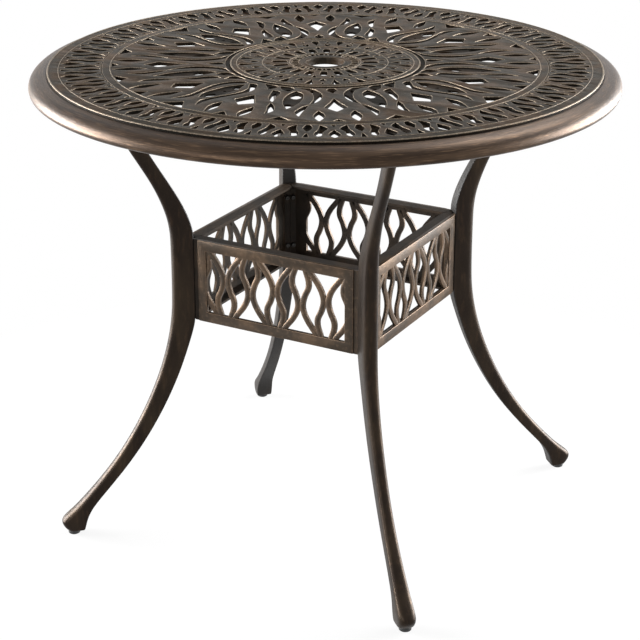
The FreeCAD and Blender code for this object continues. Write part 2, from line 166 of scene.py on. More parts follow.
floor_paint = bpy.data.materials.new("floor_white")
floor_paint.use_nodes = True
tree = floor_paint.node_tree
tree.nodes.remove(tree.nodes["Principled BSDF"])
matte = tree.nodes.new("ShaderNodeBsdfDiffuse")
matte.inputs["Color"].default_value = (FLOOR_GREY, FLOOR_GREY, FLOOR_GREY, 1)
glow = tree.nodes.new("ShaderNodeEmission")
blend = tree.nodes.new("ShaderNodeMixShader")
where = tree.nodes.new("ShaderNodeTexCoord")
away = tree.nodes.new("ShaderNodeVectorMath")
away.operation = "LENGTH"
link(tree, where.outputs["Object"], away.inputs[0])
spread = tree.nodes.new("ShaderNodeMapRange")
spread.inputs["From Min"].default_value, spread.inputs["From Max"].default_value = SHADOW_REACH
spread.inputs["To Min"].default_value, spread.inputs["To Max"].default_value = NEAR_GLOW, FAR_GLOW
link(tree, away.outputs["Value"], spread.inputs["Value"])
link(tree, times(tree, seen_directly(tree), spread.outputs["Result"]), blend.inputs[0])
link(tree, matte.outputs[0], blend.inputs[1])
link(tree, glow.outputs[0], blend.inputs[2])
link(tree, blend.outputs[0], tree.nodes["Material Output"].inputs["Surface"])
floor_mesh.materials.append(floor_paint)
print("floor", FLOOR_SIZE, "m wide")

# %% [markdown]
# ## Lamps
# Large soft lamps stand low on the left and on the right, so the rolled rim gets the long pale
# highlights of a product photograph. A weak lamp in front fills the aprons, and one high up
# behind lights the flat of the top.

# %% Lamps
def soft_lamp(name, place, aim, size, power):
    lamp = bpy.data.lights.new(name, "AREA")
    lamp.shape = "RECTANGLE"
    lamp.size, lamp.size_y = size
    lamp.energy = power
    holder = add_to_scene(name, lamp)
    holder.location = place
    direction = Vector(aim) - Vector(place)
    holder.rotation_euler = direction.to_track_quat("-Z", "Y").to_euler()


soft_lamp("window_left", place=(-2.5, -0.8, 0.80), aim=(0, 0, 0.62), size=(1.9, 1.5), power=290)
soft_lamp("window_right", place=(1.8, 1.9, 0.78), aim=(0, 0, 0.62), size=(2.2, 1.5), power=250)
soft_lamp("fill", place=(-0.5, -3.2, 1.5), aim=(0, 0, 0.5), size=(1.4, 1.0), power=24)
soft_lamp("overhead", place=(0.6, 1.3, 2.5), aim=(0.1, 0.2, 0.6), size=(1.3, 1.1), power=40)

# %% [markdown]
# ## Nodes for a coat
# A worn coat is patchy. Its patches come from noise: as the noise rises from one value to
# another, the patch comes in softly. A casting also carries marks on its faces, as attributes of
# its mesh that a material can read. Small helpers make these nodes.

# %% Nodes for a coat
def group_with(name, inputs, outputs):
    group = bpy.data.node_groups.new(name, "ShaderNodeTree")
    for label, kind in inputs:
        group.interface.new_socket(label, in_out="INPUT", socket_type=kind)
    for label, kind in outputs:
        group.interface.new_socket(label, in_out="OUTPUT", socket_type=kind)
    return group, group.nodes.new("NodeGroupInput").outputs, group.nodes.new("NodeGroupOutput").inputs


def noise(tree, place, scale, detail):
    node = tree.nodes.new("ShaderNodeTexNoise")
    node.inputs["Scale"].default_value = scale
    node.inputs["Detail"].default_value = detail
    link(tree, place, node.inputs["Vector"])
    return node.outputs["Fac"]


def mottled(tree, place, scale, detail, start, full):
    node = tree.nodes.new("ShaderNodeMapRange")
    node.interpolation_type = "SMOOTHSTEP"
    node.inputs["From Min"].default_value = start
    node.inputs["From Max"].default_value = full
    link(tree, noise(tree, place, scale, detail), node.inputs["Value"])
    return node.outputs["Result"]


def mix_colour(tree, factor, first, second):
    node = tree.nodes.new("ShaderNodeMix")
    node.data_type = "RGBA"
    link(tree, factor, node.inputs["Factor"])
    link(tree, first, node.inputs["A"])
    link(tree, second, node.inputs["B"])
    return node.outputs["Result"]


def face_mark(tree, name):
    node = tree.nodes.new("ShaderNodeAttribute")
    node.attribute_name = name
    return node.outputs["Fac"]


print("helpers", [helper.__name__ for helper in (group_with, noise, mottled, mix_colour, face_mark)])

# %% [markdown]
# ## Antique bronze coat
# The castings are powder coated in a dark satin that clouds from grey into brown. A copper tint
# is brushed over it thinly, and it shows most on the arrises. One node group makes this from
# three noises and two marks. Faces marked as rubbed show copper, which is partly worn coat and
# partly a painted highlight. Faces marked as hollow, on inward sides and in holes, are made dull
# and darkened towards black with painted shade. Each material gives the group its own colours.

# %% Antique bronze coat
# Of each noise, its scale and detail, and the values between which its mark comes in.
CLOUDS, BRUSHING, SPECKS = (26.0, 3.0, 0.38, 0.70), (150.0, 4.0, 0.50, 0.74), (520.0, 2.0, 0.42, 0.62)
SATIN, SPECK_ROUGHNESS, HOLLOW_ROUGHNESS = 0.36, 0.08, 0.15
# How far painted shade takes a hollow face towards black, and how patchy the wear is.
HOLLOW_PAINTED_SHADE, PATCHINESS = 0.62, 0.5


def bronze_coat_group():
    colour, number, vector = "NodeSocketColor", "NodeSocketFloat", "NodeSocketVector"
    group, given, result = group_with(
        "rubbed_bronze",
        [("Place", vector), ("Dark", colour), ("Brown", colour), ("Copper with painted highlight", colour), ("Painted shade", colour),
         ("Brushed", number), ("Wear with painted highlight", number), ("Metal", number)],
        [("Colour", colour), ("Roughness", number), ("Metallic", number), ("Height", number)])
    cloud, brushing, speck = (mottled(group, given["Place"], *mark) for mark in (CLOUDS, BRUSHING, SPECKS))
    hollow_with_painted_shade, rubbed = face_mark(group, "hollow_with_painted_shade"), face_mark(group, "rubbed")
    exposed = math_node(group, "SUBTRACT", 1.0, hollow_with_painted_shade)
    brushed = times(group, times(group, brushing, given["Brushed"]), exposed)
    patchy = plus(group, times(group, speck, PATCHINESS), 1.0 - PATCHINESS)
    # Copper on faces marked rubbed is partly wear and partly a painted highlight.
    wear_with_painted_highlight = times(group, times(group, rubbed, given["Wear with painted highlight"]), patchy)
    copper_with_painted_highlight = math_node(group, "MINIMUM", plus(group, brushed, wear_with_painted_highlight), 1.0)
    base = mix_colour(group, cloud, given["Dark"], given["Brown"])
    coated = mix_colour(group, copper_with_painted_highlight, base, given["Copper with painted highlight"])
    # Painted shade: faces marked hollow are mixed towards the shade colour, which is black.
    painted_shade = times(group, hollow_with_painted_shade, HOLLOW_PAINTED_SHADE)
    rough = plus(group, times(group, speck, SPECK_ROUGHNESS), SATIN)
    metal = math_node(group, "MAXIMUM", wear_with_painted_highlight, times(group, given["Metal"], exposed))
    link(group, mix_colour(group, painted_shade, coated, given["Painted shade"]), result["Colour"])
    link(group, plus(group, rough, times(group, hollow_with_painted_shade, HOLLOW_ROUGHNESS)), result["Roughness"])
    link(group, metal, result["Metallic"])
    link(group, speck, result["Height"])
    return group


BRONZE_WEAR_AND_PAINTED_LIGHT = bronze_coat_group()
print("coat group", len(BRONZE_WEAR_AND_PAINTED_LIGHT.nodes), "nodes")

# %% [markdown]
# ## Brushing that follows a casting
# Brushing runs along a casting. On a leg, a Mapping node stretches the noise upright. Round the
# rim, places are drawn out along the circumference, so that noise there becomes streaks.

# %% Brushing that follows a casting
EVEN, UPRIGHT = (1, 1, 1), (1, 1, 0.25)
STREAK_STRETCH, STREAK_SQUEEZE = 0.10, 3.0


def along_casting(tree, stretch):
    where = tree.nodes.new("ShaderNodeTexCoord")
    mapping = tree.nodes.new("ShaderNodeMapping")
    mapping.inputs["Scale"].default_value = stretch
    link(tree, where.outputs["Object"], mapping.inputs["Vector"])
    return mapping.outputs["Vector"]


def vector_math(tree, operation, vector, output):
    node = tree.nodes.new("ShaderNodeVectorMath")
    node.operation = operation
    link(tree, vector, node.inputs[0])
    return node.outputs[output]


def round_the_rim(tree):
    where = tree.nodes.new("ShaderNodeTexCoord")
    split = tree.nodes.new("ShaderNodeSeparateXYZ")
    link(tree, where.outputs["Object"], split.inputs["Vector"])
    flat = tree.nodes.new("ShaderNodeCombineXYZ")
    link(tree, split.outputs["X"], flat.inputs["X"])
    link(tree, split.outputs["Y"], flat.inputs["Y"])
    radius = vector_math(tree, "LENGTH", flat.outputs["Vector"], "Value")
    around = tree.nodes.new("ShaderNodeSeparateXYZ")
    link(tree, vector_math(tree, "NORMALIZE", flat.outputs["Vector"], "Vector"), around.inputs["Vector"])
    across = math_node(tree, "SUBTRACT", split.outputs["Z"], radius)
    place = tree.nodes.new("ShaderNodeCombineXYZ")
    link(tree, times(tree, around.outputs["X"], STREAK_STRETCH), place.inputs["X"])
    link(tree, times(tree, around.outputs["Y"], STREAK_STRETCH), place.inputs["Y"])
    link(tree, times(tree, across, STREAK_SQUEEZE), place.inputs["Z"])
    return place.outputs["Vector"]


print("a streak is", round(STREAK_SQUEEZE / STREAK_STRETCH), "times as long as it is wide")

# %% [markdown]
# ## Bronze materials
# The rim, the top, the legs and the aprons differ in tone, so each has a bronze of its own. The
# measure of metal sets how strongly a casting mirrors the lamps: the rim and legs much, the
# pierced top only on its worn arrises. The specks of the coat also raise a fine bump.

# %% Bronze materials
BUMP_STRENGTH, BUMP_HEIGHT = 0.12, 0.4 * MM
# Black is the colour of the painted shade in hollows.
BLACK = (0, 0, 0)


def bronze(name, dark, brown, copper_with_painted_highlight, brushed, wear_with_painted_highlight, metal, shine, stretch=None):
    """A stretch of None draws the brushing out round the rim."""
    material = bpy.data.materials.new(name)
    material.use_nodes = True
    tree = material.node_tree
    shader = tree.nodes["Principled BSDF"]
    shader.inputs["Specular IOR Level"].default_value = shine
    coat = tree.nodes.new("ShaderNodeGroup")
    coat.node_tree = BRONZE_WEAR_AND_PAINTED_LIGHT
    link(tree, along_casting(tree, stretch) if stretch else round_the_rim(tree), coat.inputs["Place"])
    for label, value in (("Dark", dark), ("Brown", brown), ("Copper with painted highlight", copper_with_painted_highlight), ("Painted shade", BLACK)):
        coat.inputs[label].default_value = (*value, 1)
    for label, value in (("Brushed", brushed), ("Wear with painted highlight", wear_with_painted_highlight), ("Metal", metal)):
        coat.inputs[label].default_value = value
    bump = tree.nodes.new("ShaderNodeBump")
    bump.inputs["Strength"].default_value = BUMP_STRENGTH
    bump.inputs["Distance"].default_value = BUMP_HEIGHT
    for output, target in (("Colour", shader.inputs["Base Color"]), ("Roughness", shader.inputs["Roughness"]),
                           ("Metallic", shader.inputs["Metallic"]), ("Height", bump.inputs["Height"])):
        link(tree, coat.outputs[output], target)
    link(tree, bump.outputs["Normal"], shader.inputs["Normal"])
    return material


# Each copper shows in brushed streaks and on rubbed faces, where it is partly wear and partly a painted
# highlight, the top's pale one most of all.
FINISHES = {
    "bronze_top": bronze(
        "bronze_top", dark=(0.026, 0.022, 0.017), brown=(0.050, 0.031, 0.018), copper_with_painted_highlight=(0.31, 0.25, 0.185),
        brushed=0.08, wear_with_painted_highlight=0.62, metal=0.0, shine=0.03, stretch=EVEN),
    "bronze_rim": bronze(
        "bronze_rim", dark=(0.034, 0.022, 0.015), brown=(0.062, 0.040, 0.026), copper_with_painted_highlight=(0.24, 0.15, 0.09),
        brushed=0.30, wear_with_painted_highlight=0.8, metal=0.85, shine=0.3),
    "bronze_leg": bronze(
        "bronze_leg", dark=(0.017, 0.012, 0.009), brown=(0.030, 0.021, 0.014), copper_with_painted_highlight=(0.12, 0.07, 0.04),
        brushed=0.12, wear_with_painted_highlight=0.9, metal=0.85, shine=0.3, stretch=UPRIGHT),
    "bronze_apron": bronze(
        "bronze_apron", dark=(0.042, 0.032, 0.024), brown=(0.085, 0.057, 0.037),
        copper_with_painted_highlight=(0.22, 0.145, 0.095), brushed=0.22, wear_with_painted_highlight=0.5, metal=0.5, shine=0.1, stretch=EVEN),
}
print("bronzes", len(FINISHES))

# %% [markdown]
# ## Steel, brass and nylon
# The fasteners are blackened steel, the studs plated steel, the inserts turned brass and the
# glides black nylon. All are small, so a fine grain that varies tint and roughness is enough.
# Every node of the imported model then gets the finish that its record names.

# %% Steel, brass and nylon
GRAIN, GRAIN_ROUGHNESS = (900.0, 2.0), 0.2
PALE, DEEP = 1.2, 0.8


def plain(name, colour, roughness, metallic):
    material = bpy.data.materials.new(name)
    material.use_nodes = True
    tree = material.node_tree
    shader = tree.nodes["Principled BSDF"]
    shader.inputs["Metallic"].default_value = metallic
    where = tree.nodes.new("ShaderNodeTexCoord")
    grain = noise(tree, where.outputs["Object"], *GRAIN)
    tint = tree.nodes.new("ShaderNodeMix")
    tint.data_type = "RGBA"
    tint.inputs["A"].default_value = (*[DEEP * c for c in colour], 1)
    tint.inputs["B"].default_value = (*[min(PALE * c, 1) for c in colour], 1)
    link(tree, grain, tint.inputs["Factor"])
    link(tree, tint.outputs["Result"], shader.inputs["Base Color"])
    rough = plus(tree, times(tree, grain, GRAIN_ROUGHNESS), roughness - GRAIN_ROUGHNESS / 2)
    link(tree, rough, shader.inputs["Roughness"])
    return material


FINISHES["dark_steel"] = plain("dark_steel", (0.05, 0.048, 0.045), 0.4, 0.9)
FINISHES["plated_steel"] = plain("plated_steel", (0.55, 0.54, 0.52), 0.3, 1.0)
FINISHES["insert_brass"] = plain("insert_brass", (0.60, 0.44, 0.20), 0.3, 1.0)
FINISHES["black_nylon"] = plain("black_nylon", (0.012, 0.012, 0.012), 0.5, 0.0)
SLOTS = {part["node"]: part["material_slot"] for part in frame["record"]["subparts"]}
for node, slot in SLOTS.items():
    shown = frame["nodes"][node].data
    shown.materials.clear()
    shown.materials.append(FINISHES[slot])
print("finishes", len(FINISHES))

# %% [markdown]
# ## Finished pieces
# Every piece is a bmesh that ends in one helper. It merges doubles, turns faces outwards, shades
# soft curves smooth and keeps arrises crisp. The piece then gets the finish that the record names
# for its node, rides on the node's body and takes its place.

# %% Finished pieces
MERGE = 0.01 * MM
SHARP = math.radians(34)


def face_layer(bm, name):
    return bm.faces.layers.float.get(name) or bm.faces.layers.float.new(name)


def finished(bm, name, node, body):
    bmesh.ops.remove_doubles(bm, verts=bm.verts, dist=MERGE)
    bmesh.ops.recalc_face_normals(bm, faces=bm.faces)
    # Every piece gets both marks: worn copper with a painted highlight, and painted shade.
    face_layer(bm, "rubbed")
    face_layer(bm, "hollow_with_painted_shade")
    mesh = bpy.data.meshes.new(name)
    bm.to_mesh(mesh)
    bm.free()
    mesh.polygons.foreach_set("use_smooth", [True] * len(mesh.polygons))
    mesh.set_sharp_from_angle(angle=SHARP)
    mesh.materials.append(FINISHES[SLOTS[node]])
    piece = add_to_scene(name, mesh)
    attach(piece, body)
    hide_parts(node)
    print(name, len(mesh.polygons), "faces")
    return piece


print("arrises are crisp from", round(math.degrees(SHARP)), "degrees")

# %% [markdown]
# ## Rolled rim
# The rim is a roll, turned down round the edge of the top. A ledge inside it carries the pierced
# disc. It is the same all the way round, so one profile is spun about the middle. The roll is a
# smooth curve through a few points.

# %% Rolled rim
PLATE, FIT_GAP = 6 * MM, 0.4 * MM
DISC_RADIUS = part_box("top_grille")[1].x
RIM_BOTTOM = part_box("rim_moulding")[0].z
LEDGE_WIDTH, LEDGE_DROP = 18 * MM, 10.5 * MM
RIM_STEPS = 256
# How far in from the edge and how far below the top, in millimetres, along the roll and inside it.
ROLL = [(20.5, 5.3), (10.5, 8.6), (3.1, 14.6), (0.1, 21.6), (1.0, 27.4), (4.6, 30.4)]
ROLL_INSIDE = [(6.4, 22.5), (11.4, 14.6)]


def spin_profile(bm, points, steps, closed=True):
    """Turns a profile of (radius, height) once round the middle. An open one ends on the axis."""
    verts = [bm.verts.new((r, 0, z)) for r, z in points]
    edges = [bm.edges.new((verts[k - 1], verts[k])) for k in range(0 if closed else 1, len(verts))]
    bmesh.ops.spin(bm, geom=verts + edges, cent=(0, 0, 0), axis=(0, 0, 1), angle=2 * math.pi,
                   steps=steps, use_merge=True)


def smooth_run(points, pieces):
    """A smooth curve that passes through every point."""
    ends = [points[0]] + points + [points[-1]]
    run = []
    for before, here, there, after in zip(ends, ends[1:], ends[2:], ends[3:]):
        for k in range(pieces):
            t = k / pieces
            run.append(tuple(
                q + 0.5 * t * (r - p + t * (2 * p - 5 * q + 4 * r - s + t * (3 * (q - r) + s - p)))
                for p, q, r, s in zip(before, here, there, after)))
    return run + [points[-1]]


def below_edge(points):
    return [(RIM_RADIUS - inwards * MM, TOP - down * MM) for inwards, down in points]


def rim_profile():
    lip, ledge = DISC_RADIUS + FIT_GAP, DISC_RADIUS - LEDGE_WIDTH
    outside = [(lip + 1.5 * MM, TOP - 4.2 * MM), *below_edge(ROLL), (RIM_RADIUS - 8.0 * MM, RIM_BOTTOM)]
    inside = [(RIM_RADIUS - 10.4 * MM, RIM_BOTTOM + 0.6 * MM), *below_edge(ROLL_INSIDE),
              (lip + 2.2 * MM, TOP - LEDGE_DROP)]
    seat = [(ledge, TOP - LEDGE_DROP), (ledge, TOP - PLATE), (lip, TOP - PLATE), (lip, TOP - 4.6 * MM)]
    return smooth_run(outside, pieces=5) + smooth_run(inside, pieces=3) + seat


bm = bmesh.new()
spin_profile(bm, rim_profile(), RIM_STEPS)
finished(bm, "rolled_rim", "rim_moulding", "table_frame")

# %% [markdown]
# ## Outlines in a flat curve
# The top is full of holes between strips that flow round each other. Cutting hundreds of holes
# with booleans is slow and leaves poor faces. A flat curve does it in one step: the outline and
# every hole are closed splines, and the curve fills what is between them. A hole's pointed tips
# are blunted a little, as a casting's are.

# %% Outlines in a flat curve
CIRCLE_ARCS, HOLE_SMOOTHNESS = 8, 3


def polar(angle, radius):
    a = math.radians(angle)
    return Vector((radius * math.cos(a), radius * math.sin(a), 0))


def flat_curve(name, fill="BOTH"):
    curve = bpy.data.curves.new(name, "CURVE")
    curve.dimensions = "2D"
    curve.fill_mode = fill
    return curve


def add_spline(curve, count, smoothness, closed=True):
    spline = curve.splines.new("BEZIER")
    spline.bezier_points.add(count - 1)
    spline.use_cyclic_u = closed
    spline.resolution_u = smoothness
    return spline.bezier_points


def add_circle(curve, radius, smoothness):
    reach = 4 / 3 * math.tan(math.pi / (2 * CIRCLE_ARCS)) * radius
    for k, point in enumerate(add_spline(curve, CIRCLE_ARCS, smoothness)):
        here = polar(360 * k / CIRCLE_ARCS, radius)
        along = polar(360 * k / CIRCLE_ARCS + 90, reach)
        point.handle_left_type = point.handle_right_type = "FREE"
        point.co, point.handle_left, point.handle_right = here, here - along, here + along


def blunted(outline, tip):
    stops = []
    for k, (place, pointed) in enumerate(outline):
        if not pointed:
            stops.append((place, False))
            continue
        for near in (outline[k - 1][0], outline[(k + 1) % len(outline)][0]):
            stops.append((place + (near - place).normalized() * tip, True))
    return stops


def add_hole(curve, outline, tip):
    """An outline is a list of (place, pointed)."""
    stops = blunted(outline, tip)
    for point, (place, pointed) in zip(add_spline(curve, len(stops), HOLE_SMOOTHNESS), stops):
        point.co = place
        point.handle_left_type = point.handle_right_type = "VECTOR" if pointed else "AUTO"


print("a circle is", CIRCLE_ARCS, "arcs")

# %% [markdown]
# ## Pierced sheets
# Extrude gives the flat curve its thickness, and a small bevel rounds every arris. The curve is
# then made a mesh, and its faces are marked for the coat: those that slope are its rubbed
# arrises, which get worn copper and a painted highlight, and those that stand upright, in the
# holes, get painted shade.

# %% Pierced sheets
WALL_BELOW, ARRIS_FROM, ARRIS_TO = 0.3, 0.05, 0.98


def solid_of(curve):
    """The solid that a curve shows, as a bmesh. The curve itself goes."""
    holder = add_to_scene(curve.name, curve)
    bpy.context.view_layer.update()
    mesh = bpy.data.meshes.new_from_object(holder.evaluated_get(bpy.context.evaluated_depsgraph_get()))
    bpy.data.objects.remove(holder)
    bpy.data.curves.remove(curve)
    bm = bmesh.new()
    bm.from_mesh(mesh)
    bpy.data.meshes.remove(mesh)
    bmesh.ops.remove_doubles(bm, verts=bm.verts, dist=MERGE)
    return bm


def sheet_from(curve, thickness, arris, lift, shrink, hollow_with_painted_shade=0.0):
    curve.extrude = thickness / 2 - arris
    curve.bevel_depth = arris
    curve.bevel_resolution = 1
    curve.offset = -arris - shrink
    bm = solid_of(curve)
    bmesh.ops.recalc_face_normals(bm, faces=bm.faces)
    rubbed, dark = face_layer(bm, "rubbed"), face_layer(bm, "hollow_with_painted_shade")
    for face in bm.faces:
        # Sloping faces get worn copper and a painted highlight. Upright walls, and all of a web, get painted
        # shade.
        face[rubbed] = 1.0 if ARRIS_FROM < face.normal.z < ARRIS_TO and not hollow_with_painted_shade else 0.0
        face[dark] = 1.0 if abs(face.normal.z) < WALL_BELOW else hollow_with_painted_shade
    bmesh.ops.translate(bm, verts=bm.verts, vec=(0, 0, lift))
    return bm


print("a wall leans less than", round(math.degrees(math.asin(WALL_BELOW))), "degrees")

# %% [markdown]
# ## Strips over a web
# The strips of the top stand a little above a web that fills the hollows between them, and the
# web has holes of its own. So each part of the top is two sheets: strips with the hollows cut
# out, and below them the web, which is marked hollow all over, so the coat gives it painted shade.

# %% Strips over a web
SHEET_TOP, PLATE_BOTTOM = TOP - 0.6 * MM, TOP - PLATE
SHEET_THICK = SHEET_TOP - PLATE_BOTTOM
STRIP_RISE, WEB_THICK, WEB_ARRIS = 2.2 * MM, 3.3 * MM, 0.3 * MM
OUTER_SMOOTHNESS, INNER_SMOOTHNESS = 24, 16


def join_into(bm, other):
    """Adds the faces of another bmesh, with what is marked on them."""
    mesh = bpy.data.meshes.new("joined")
    other.to_mesh(mesh)
    other.free()
    bm.from_mesh(mesh)
    bpy.data.meshes.remove(mesh)


def two_layers(name, outer, strips_inner, web_inner, cut_strips, cut_web, inset, growth, arris):
    """The strips' edges are inset a little, and the web reaches a little in to every hole."""
    strips, web = flat_curve(name + "_strips"), flat_curve(name + "_web")
    for curve, inner in ((strips, strips_inner), (web, web_inner)):
        add_circle(curve, outer, OUTER_SMOOTHNESS)
        add_circle(curve, inner, INNER_SMOOTHNESS)
    cut_strips(strips)
    cut_web(web)
    bm = sheet_from(strips, SHEET_THICK, arris, SHEET_TOP - SHEET_THICK / 2, inset)
    web_middle = SHEET_TOP - STRIP_RISE - WEB_THICK / 2
    # The web is marked hollow all over, which darkens it with painted shade.
    join_into(bm, sheet_from(web, WEB_THICK, WEB_ARRIS, web_middle, -growth, hollow_with_painted_shade=1.0))
    return bm


print("sheet", round(SHEET_THICK / MM, 2), "mm thick, with its web", STRIP_RISE / MM, "mm lower")

# %% [markdown]
# ## Pattern of the disc
# The pattern repeats every quarter and is mirrored about its own axes, A, and B halfway between.
# Each hole is a few points, an angle from its axis and a share of the way across its zone. A
# third value marks a pointed tip. The holes on an axis are drawn as one half of their outline.

# %% Pattern of the disc
OPEN_ON_A = [
    [(0, 0.71, 1), (3.6, 0.59, 1), (1.3, 0.43), (0, 0.33, 1)],
    [(0, 0.93, 1), (1.6, 0.985, 1)],
]
OPEN_ON_B = [
    [(0, 0.85, 1), (3.6, 0.985, 1)],
]
OPEN_MIRRORED = [
    [(4.8, 0.98, 1), (6.3, 0.86), (6.2, 0.78), (5.3, 0.69, 1), (3.8, 0.78), (3.6, 0.87)],
    [(10.3, 0.86, 1), (11.9, 0.75), (11.6, 0.68), (10.3, 0.58), (8.9, 0.53, 1), (9.3, 0.63), (9.9, 0.72)],
    [(19.6, 0.84, 1), (20.1, 0.74), (21.3, 0.62), (21.6, 0.53, 1), (19.3, 0.63), (18.3, 0.75)],
    [(11.6, 0.985, 1), (15.0, 0.89, 1), (17.6, 0.985, 1)],
    [(25.3, 0.98, 1), (26.6, 0.87), (26.0, 0.77), (25.0, 0.685, 1), (24.0, 0.77), (23.9, 0.87)],
    [(30.4, 0.67, 1), (34.6, 0.545, 1), (33.0, 0.45), (31.3, 0.37, 1), (28.8, 0.47), (26.3, 0.58, 1)],
    [(34.7, 0.975, 1), (36.6, 0.84), (37.0, 0.77), (36.2, 0.665, 1), (34.8, 0.75), (34.1, 0.83)],
    [(28.2, 0.985, 1), (30.4, 0.89, 1), (31.8, 0.985, 1)],
]
HOLLOW_ON_A = [[(0, 0.175, 1), (2.4, 0.075), (1.6, 0.03, 1)]]
HOLLOW_ON_B = [[(0, 0.68, 1), (2.9, 0.56), (3.4, 0.44), (3.2, 0.30), (0, 0.15, 1)]]
HOLLOW_MIRRORED = [
    [(8.5, 0.515, 1), (7.7, 0.39), (7.8, 0.30), (8.5, 0.22), (10.0, 0.15), (12.6, 0.085),
     (19.0, 0.03, 1), (11.5, 0.03, 1), (8.4, 0.075), (6.1, 0.14), (4.8, 0.22), (4.75, 0.31), (6.3, 0.43)],
    [(15.0, 0.67, 1), (17.3, 0.53), (18.7, 0.41), (19.2, 0.30), (18.8, 0.21), (17.2, 0.135, 1),
     (13.9, 0.19), (12.4, 0.285), (12.1, 0.39), (12.8, 0.51), (13.9, 0.60)],
    [(21.7, 0.495, 1), (24.3, 0.415), (25.9, 0.31), (27.0, 0.23), (27.8, 0.175, 1), (24.6, 0.185),
     (22.9, 0.26), (22.6, 0.345)],
    [(20.2, 0.165, 1), (24.0, 0.13), (26.6, 0.07), (28.0, 0.03, 1), (22.0, 0.03), (19.4, 0.07)],
    [(30.5, 0.165, 1), (33.4, 0.10), (36.5, 0.045), (37.5, 0.03, 1), (31.5, 0.03), (28.7, 0.055)],
    [(40.3, 0.86, 1), (42.5, 0.725), (41.3, 0.58), (39.6, 0.46), (38.7, 0.37), (38.5, 0.285),
     (39.4, 0.215), (41.6, 0.16), (44.2, 0.10, 1), (41.0, 0.085), (38.0, 0.14), (36.2, 0.225),
     (36.0, 0.32), (37.3, 0.43), (39.2, 0.55), (40.6, 0.68)],
]
WEB_HOLES_ON_A = [[(0, 0.165, 1), (2.0, 0.07), (0, 0.03, 1)]]
WEB_HOLES_ON_B = [
    [(0, 0.66, 1), (2.5, 0.56, 1), (0, 0.47, 1)],
    [(0, 0.42, 1), (0.9, 0.38), (0, 0.35, 1)],
    [(0, 0.31, 1), (2.8, 0.25, 1), (0, 0.18, 1)],
]
WEB_HOLES_MIRRORED = [
    [(8.5, 0.515, 1), (7.7, 0.39), (7.5, 0.32), (5.6, 0.165, 1), (4.7, 0.24), (4.8, 0.31), (6.3, 0.43)],
    [(9.2, 0.18, 1), (10.2, 0.13), (11.8, 0.07, 1), (9.8, 0.06), (8.7, 0.105)],
    [(12.6, 0.07, 1), (16.0, 0.055), (18.2, 0.03, 1), (14.5, 0.03)],
    [(15.0, 0.665, 1), (16.3, 0.58), (17.2, 0.515), (15.8, 0.48, 1), (14.2, 0.52, 1), (14.0, 0.59)],
    [(15.0, 0.355, 1), (17.6, 0.31), (18.5, 0.25), (16.4, 0.165, 1), (13.8, 0.21), (12.5, 0.29, 1)],
    [(21.7, 0.49, 1), (24.2, 0.415), (25.6, 0.32), (26.3, 0.24), (25.4, 0.195, 1), (22.7, 0.34)],
    [(21.0, 0.14, 1), (23.5, 0.11), (23.2, 0.06, 1), (20.3, 0.08)],
    [(40.3, 0.855, 1), (42.4, 0.71), (41.2, 0.58), (39.3, 0.45, 1), (39.6, 0.56), (40.8, 0.68)],
    [(37.3, 0.37, 1), (39.2, 0.22), (41.5, 0.16), (44.0, 0.10, 1), (41.0, 0.10), (38.0, 0.155), (36.6, 0.25)],
    [(31.5, 0.13, 1), (33.8, 0.07), (31.6, 0.03, 1), (29.4, 0.055)],
]
STRIP_HOLES = OPEN_ON_A + HOLLOW_ON_A, OPEN_ON_B + HOLLOW_ON_B, OPEN_MIRRORED + HOLLOW_MIRRORED
WEB_HOLES = OPEN_ON_A + WEB_HOLES_ON_A, OPEN_ON_B + WEB_HOLES_ON_B, OPEN_MIRRORED + WEB_HOLES_MIRRORED
print("holes drawn", sum(len(holes) for holes in STRIP_HOLES + WEB_HOLES))

# %% [markdown]
# ## Field and border
# The field of leaves runs from the medallion's seat out to a plain ring. Beyond the ring, a
# border of paired leaves repeats 32 times round the edge, with drops, lenses and slots in it.

# %% Field and border
FIELD_TURN, BAND_TURN, BAND_COUNT = -57.9, -59.4, 32
MEDALLION_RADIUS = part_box("centre_medallion")[1].x
SEAT_INNER, SEAT_OUTER = MEDALLION_RADIUS - 8 * MM, MEDALLION_RADIUS + 4.4 * MM
RING_INNER, RING_OUTER = 323.5 * MM, 337 * MM
BAND_INNER, BAND_OUTER = RING_OUTER + 1.5 * MM, DISC_RADIUS - 19 * MM
BAND_DROP = [(0, 0.99, 1), (1.15, 0.79), (0.95, 0.65), (0, 0.41, 1)]
BAND_LENS = [(0, 0.53, 1), (0.95, 0.27), (0.9, 0.18), (0.45, 0.01, 1)]
BAND_TOP_NOTCH = [(0, 0.66, 1), (0.55, 0.96, 1)]
BAND_FOOT_NOTCH = [(0, 0.15, 1), (0.5, 0.01, 1)]
BAND_SIDE_SLOT = [(3.2, 0.88), (4.0, 0.72), (3.25, 0.36), (3.0, 0.01, 1), (1.35, 0.26), (2.4, 0.56),
                  (2.5, 0.78)]


def whole(half):
    """Mirrors an outline that starts and ends on its axis."""
    return half + [(-p[0], *p[1:]) for p in reversed(half) if p[0] != 0]


def placed(outline, axis, side, inner, outer):
    return [(polar(axis + side * p[0], inner + p[1] * (outer - inner)), len(p) > 2) for p in outline]


def add_field(curve, on_a, on_b, mirrored, tip):
    for quarter in range(4):
        axis = FIELD_TURN + 90 * quarter
        for halves, turn in ((on_a, axis), (on_b, axis + 45)):
            for half in halves:
                add_hole(curve, placed(whole(half), turn, 1, SEAT_OUTER, RING_INNER), tip)
        for outline in mirrored:
            for side in (1, -1):
                add_hole(curve, placed(outline, axis, side, SEAT_OUTER, RING_INNER), tip)


